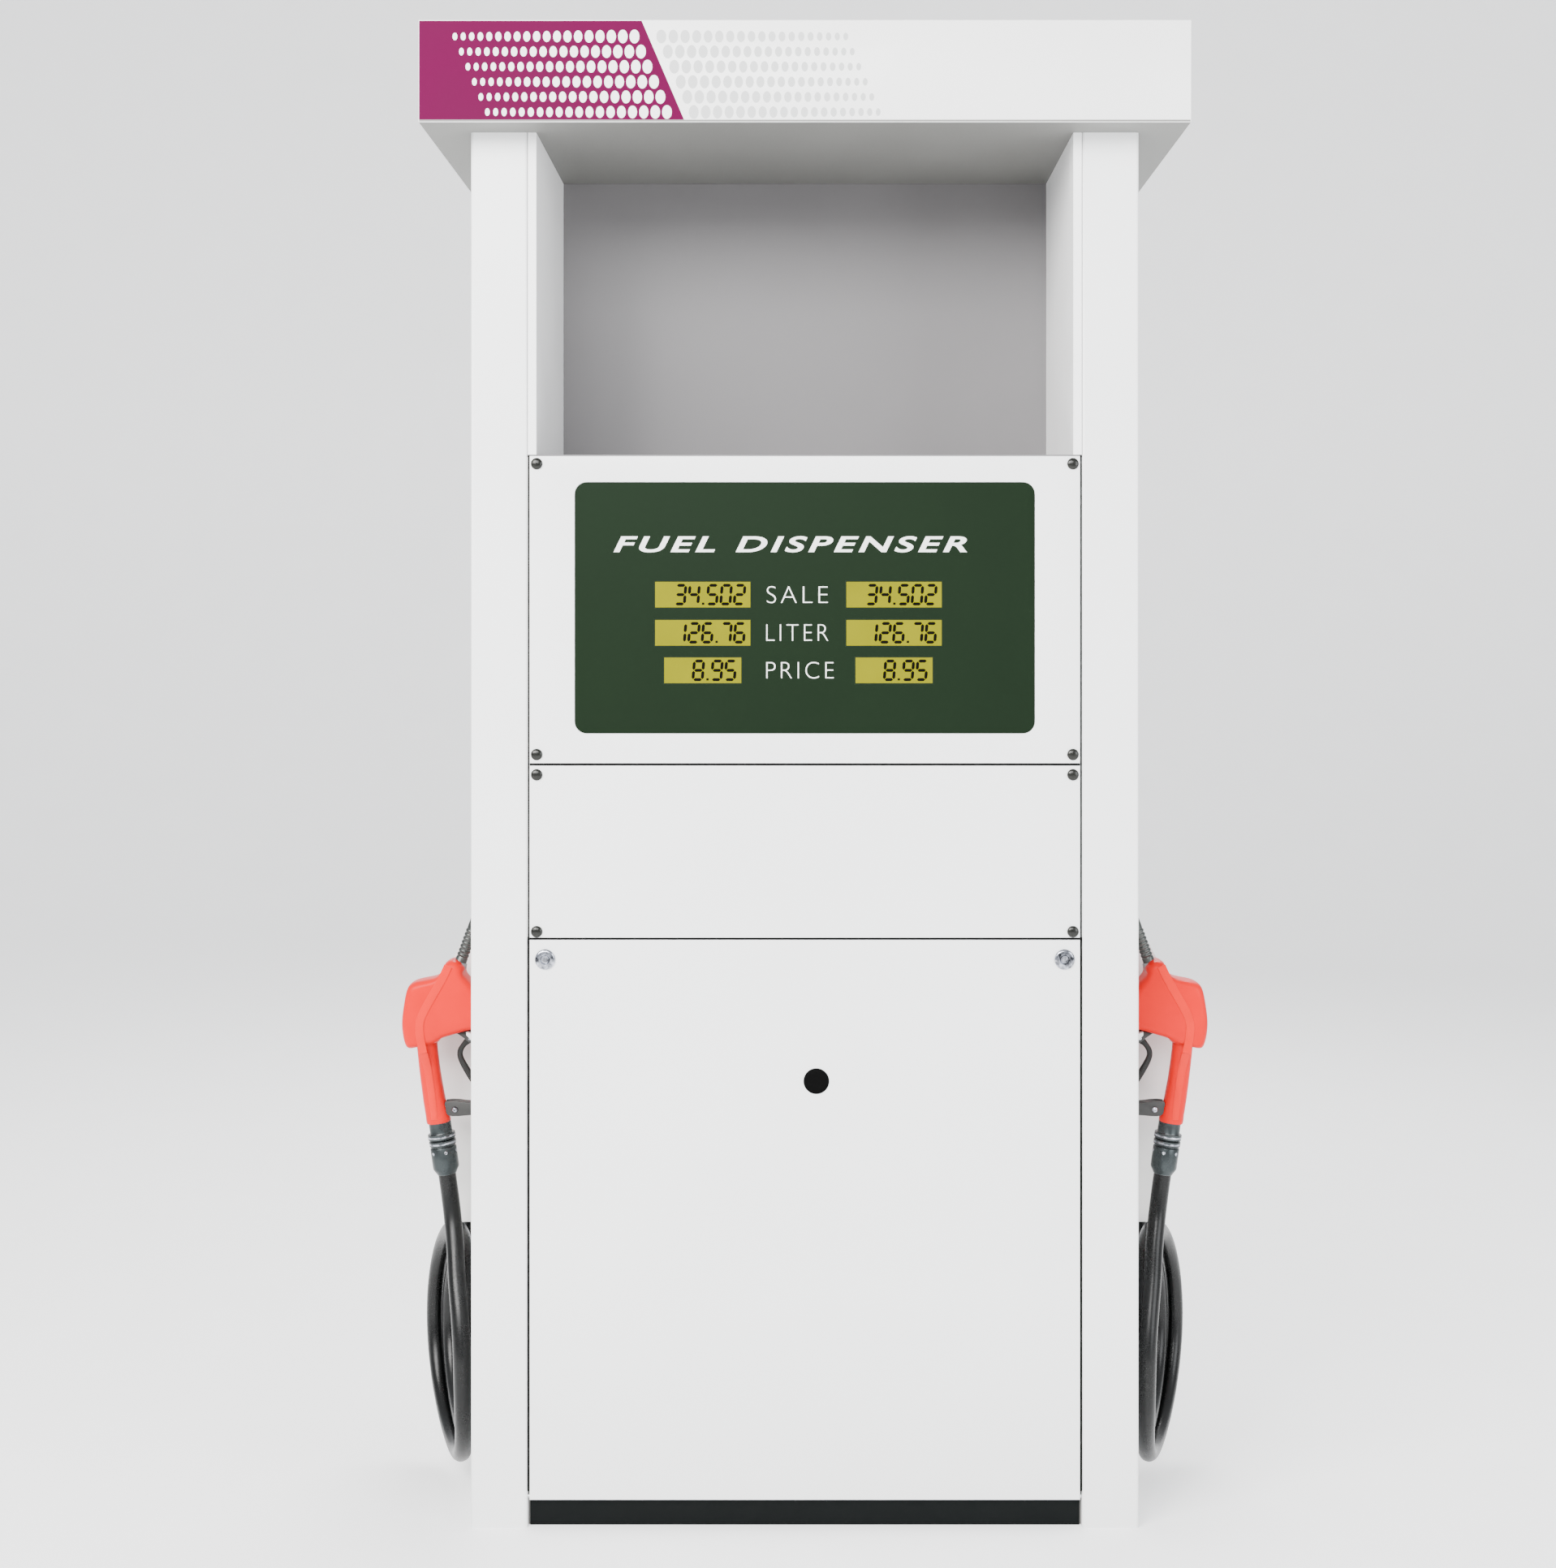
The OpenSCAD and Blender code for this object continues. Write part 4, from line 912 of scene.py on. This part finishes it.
def swivel(side):
    """A collar, two bright rings and a long ferrule that grips the hose."""
    bm = bmesh.new()
    outline = [(9.1, 0.4), (16.6, 0.4), (17, 0.9), (17, 17.6), (17.4, 18.4), (20.2, 18.5), (20.9, 19.3),
               (20.9, 26.6), (20.2, 27.4), (19, 27.8), (18.2, 28.4), (19, 29.1), (19.8, 29.5), (20.5, 30.3),
               (20.5, 36.6), (19.8, 37.4), (18.5, 37.9), (18.1, 38.7), (18.5, 39.5), (19.6, 40.2), (20, 41),
               (20, 70.5), (19.6, 72.6), (17.8, 76), (15.4, 80), (14.6, 81.8), (13.7, 82), (13.6, 78),
               (12, 60), (9.1, 40), (9.1, 0.4)]
    turned(bm, GRIP_END, DOWN, outline, 56, close_ends=False)
    side_piece(side, "swivel_collar", bm, "swivel_metal", 35, body="swivel", node="swivel")
    bm = bmesh.new()
    for up, r in ((23, 21.05), (33.4, 20.65)):
        turned(bm, GRIP_END, DOWN, [(r - 1, up - 1.4), (r, up - 1.3), (r + 0.28, up), (r, up + 1.3),
                                    (r - 1, up + 1.4), (r - 1, up - 1.4)], 56, close_ends=False)
    for k in range(6):
        a = math.radians(60 * k + 12)
        across = Vector((math.cos(LEAN), 0, -math.sin(LEAN)))
        out = across * math.cos(a) + Vector((0, 1, 0)) * math.sin(a)
        at = Vector(GRIP_END) + Vector(DOWN) * 47 + out * 19.2
        turned(bm, at, out, [(2.4, 0), (2.4, 1.3), (1.9, 1.6), (1.2, 1.3), (0.6, 1.25)], 20)
    side_piece(side, "swivel_rings", bm, "chrome", 35, body="swivel")


for side in SIDES:
    for part in (cover, strip, casting, spout, lever_guard, trigger, swivel):
        part(side)

# ------------------------------------------------------------------ display

SEGMENTS = {"0": "abcdef", "1": "bc", "2": "abged", "3": "abgcd", "4": "fgbc", "5": "afgcd", "6": "afgedc",
            "7": "abc", "8": "abcdefg", "9": "abcfgd"}
LCD_X = (-151, 132)
LCD_H = 38
LCD_ROWS = ((1380.5, 141, "34.502"), (1324, 141, "126.76"), (1268.5, 114, "8.95"))
LENS_Y = -HALF_D + 1.5
LCD_FACE = LENS_Y - 0.3


def digit_segment(bm, ends, x, z, height, y, slant):
    """One bar of a seven-segment digit, pointed at both ends and a little raised."""
    (ax, az), (bx, bz) = ends
    along = Vector((bx - ax, bz - az)).normalized()
    across = Vector((-along.y, along.x))
    half = 0.078 * height
    a, b = Vector((ax, az)) * height + along * half * 0.35, Vector((bx, bz)) * height - along * half * 0.35
    points = [a, a + along * half + across * half, b - along * half + across * half, b,
              b - along * half - across * half, a + along * half - across * half]
    rings = []
    for depth in (0.0, -0.14):
        rings.append([(x + p.x + slant * p.y, y + depth, z + p.y) for p in points])
    loft(bm, rings)


def readout(number, x_right, z, digits, height=27.5, pitch=20, margin=24):
    bm = bmesh.new()
    w, slant = 0.5, 0.08
    ends = {"a": ((0, 1), (w, 1)), "g": ((0, 0.5), (w, 0.5)), "d": ((0, 0), (w, 0)), "f": ((0, 0.5), (0, 1)),
            "b": ((w, 0.5), (w, 1)), "e": ((0, 0), (0, 0.5)), "c": ((w, 0), (w, 0.5))}
    x = x_right - margin
    for c in reversed(digits):
        if c == ".":
            dot = x + pitch - 6
            loft(bm, [[(dot + dx, LCD_FACE + y, z - height / 2 + dz)
                       for dx, dz in ((-1.7, -1.2), (1.7, -1.2), (1.7, 2), (-1.7, 2))] for y in (0, -0.14)])
            x -= 7.5
            continue
        for s in SEGMENTS[c]:
            digit_segment(bm, ends[s], x, z - height / 2, height, LCD_FACE, slant)
        x -= pitch
    made = finish_mesh(f"readout_{number}", bm, SLOTS["digit_black"], 30)
    place(made, "cabinet")


def window():
    """The lens: a dark printed sheet with an opening over each liquid-crystal module."""
    bm = bmesh.new()
    play = 0.3
    outline = round_rect(WINDOW["half_w"] - play, WINDOW["half_h"] - play, WINDOW["radius"] - 0.4, WINDOW["z"])
    pillow(bm, outline, LENS_Y, LENS_Y + 2.8, 0.5, 2)
    place(finish_mesh("window_lens", bm, SLOTS["lens_green"], 40),
          "cabinet", ("display_window",))
    number = 0
    for x in LCD_X:
        for z, w, digits in LCD_ROWS:
            left, right = x - w / 2, x + w / 2
            number += 1
            # a thin dark frame round each module, with the pale face sunk in it
            bm = bmesh.new()
            lo, hi = z - LCD_H / 2, z + LCD_H / 2
            face = [(left, lo), (right, lo), (right, hi), (left, hi)]
            rings = []
            for grow, y in ((1.8, 0.0), (1.6, -0.35), (0.9, -0.5), (0.3, -0.42), (0, -0.3), (0, -0.12)):
                rings.append([(p[0], LENS_Y + y, p[1]) for p in shrink(face, -grow)])
            loft(bm, rings, close_ends=False)
            place(finish_mesh(f"module_frame_{number}", bm, SLOTS["lens_green"], 30), "cabinet")
            bm = bmesh.new()
            pillow(bm, face, LCD_FACE, LENS_Y + 0.3, 0.12, 1)
            made = finish_mesh(f"module_face_{number}", bm, SLOTS["lcd"], 40)
            place(made, "cabinet", ("lcd_modules",))
            readout(number, right, z, digits)


def lettering(name, text, left, right, z, height, shear=0.0, spacing=1.0, thick=0.0):
    """Plain words as raised print, fitted between left and right, with their middle at z."""
    curve = bpy.data.curves.new(name + "_text", "FONT")
    curve.body = text
    curve.shear = shear
    curve.space_character = spacing
    curve.extrude = 0.004
    curve.offset = thick
    made = bpy.data.objects.new(name + "_text", curve)
    scene.collection.objects.link(made)
    bpy.context.view_layer.update()
    mesh = bpy.data.meshes.new_from_object(made.evaluated_get(bpy.context.evaluated_depsgraph_get()))
    bpy.data.objects.remove(made)
    bm = bmesh.new()
    bm.from_mesh(mesh)
    bpy.data.meshes.remove(mesh)
    xs = [v.co.x for v in bm.verts]
    ys = [v.co.y for v in bm.verts]
    x_scale = (right - left) / (max(xs) - min(xs))
    z_scale = height / (max(ys) - min(ys))
    x0, y0 = min(xs), (min(ys) + max(ys)) / 2
    for v in bm.verts:
        v.co = Vector((left + (v.co.x - x0) * x_scale, LENS_Y - 0.08 - v.co.z * 20,
                       z + (v.co.y - y0) * z_scale))
    # the letters take the faintly glowing white print, a painted light
    place(finish_mesh(name, bm, SLOTS["glowing_print_white"], 30), "cabinet")


window()
lettering("title", "FUEL DISPENSER", -283, 240, 1455, 24, shear=0.26, spacing=1.22, thick=0.022)
for word, (z, _, _), right in (("SALE", LCD_ROWS[0], 34), ("LITER", LCD_ROWS[1], 35.2),
                               ("PRICE", LCD_ROWS[2], 42.7)):
    lettering("label_" + word.lower(), word, -57, right, z, 25, spacing=1.2, thick=-0.022)

# ------------------------------------------------------------------ head

DOT_COLUMNS = 19


def fascia():
    """The front fascia: a white sheet, a printed field with a slanted edge, and two fields of dots."""
    bm = bmesh.new()
    low, high = (-HEAD_W / 2, HEAD_Y + 0.35, HEAD_Z0), (HEAD_W / 2, HEAD_Y + 3, HEAD_Z1)
    rounded_box(bm, low, high, 0.8, 2)
    place(finish_mesh("fascia_sheet", bm, SLOTS["fascia_white"], 40),
          "cabinet", ("front_fascia",))
    bm = bmesh.new()
    # the printed field stops just inside the sheet's rounded edge
    top, bottom = HEAD_Z1 - 1.2, HEAD_Z0 + 3.5
    # the field's right edge: its place at the top of the head, and how far it moves right for each step down
    edge, slant = -236.9, 0.429
    loft(bm, [[(x, HEAD_Y + y, z) for x, z in
               ((-HEAD_W / 2 + 1, bottom), (edge + slant * (HEAD_Z1 - bottom), bottom),
                (edge + slant * (HEAD_Z1 - top), top), (-HEAD_W / 2 + 1, top))] for y in (0.36, 0.2)])
    place(finish_mesh("fascia_field", bm, SLOTS["fascia_print"], 40), "cabinet")
    bm = bmesh.new()
    loft(bm, [[(x, HEAD_Y + y, z) for x, z in
               ((-HEAD_W / 2 + 1, HEAD_Z0 + 0.8), (HEAD_W / 2 - 1, HEAD_Z0 + 0.8), (HEAD_W / 2 - 1, bottom),
                (-HEAD_W / 2 + 1, bottom))] for y in (0.36, 0.15)])
    place(finish_mesh("fascia_lower_trim", bm, SLOTS["soffit_grey"], 40), "cabinet")
    for name, slot, first, step0, step1, sizes in (
            ("fascia_dots_pale", "fascia_white", -507, 12.0, 17.2, ((7, 11), (14.2, 20))),
            ("fascia_dots_grey", "print_grey", -208, 17.4, 12.0, ((14.2, 20), (7, 11)))):
        bm = bmesh.new()
        for row in range(6):
            z = HEAD_Z1 - 24 - 21.9 * row
            x = first + 9.4 * row
            for column in range(DOT_COLUMNS):
                t = column / (DOT_COLUMNS - 1)
                a = (sizes[0][0] + (sizes[1][0] - sizes[0][0]) * t) / 2
                b = (sizes[0][1] + (sizes[1][1] - sizes[0][1]) * t) / 2
                disc = [(x + a * math.cos(2 * math.pi * k / 20), z + b * math.sin(2 * math.pi * k / 20))
                        for k in range(20)]
                loft(bm, [[(px, HEAD_Y + y, pz) for px, pz in disc] for y in (0.36, 0.1)])
                x += step0 + (step1 - step0) * t
        made = finish_mesh(name, bm, SLOTS[slot], 40)
        place(made, "cabinet")


fascia()

# ------------------------------------------------------------------ CAD nodes that are shown as they are

for row in frame["record"]["subparts"]:
    node = frame["nodes"][row["node"]]
    if node.hide_render:
        continue
    node.data.materials.clear()
    node.data.materials.append(SLOTS[row["material_slot"]])
    weld = node.modifiers.new("weld", "WELD")
    weld.merge_threshold = 0.00001
    edges = node.modifiers.new("edges", "BEVEL")
    edges.width = 0.0006
    edges.segments = 2
    edges.limit_method = "ANGLE"
    edges.angle_limit = math.radians(38)
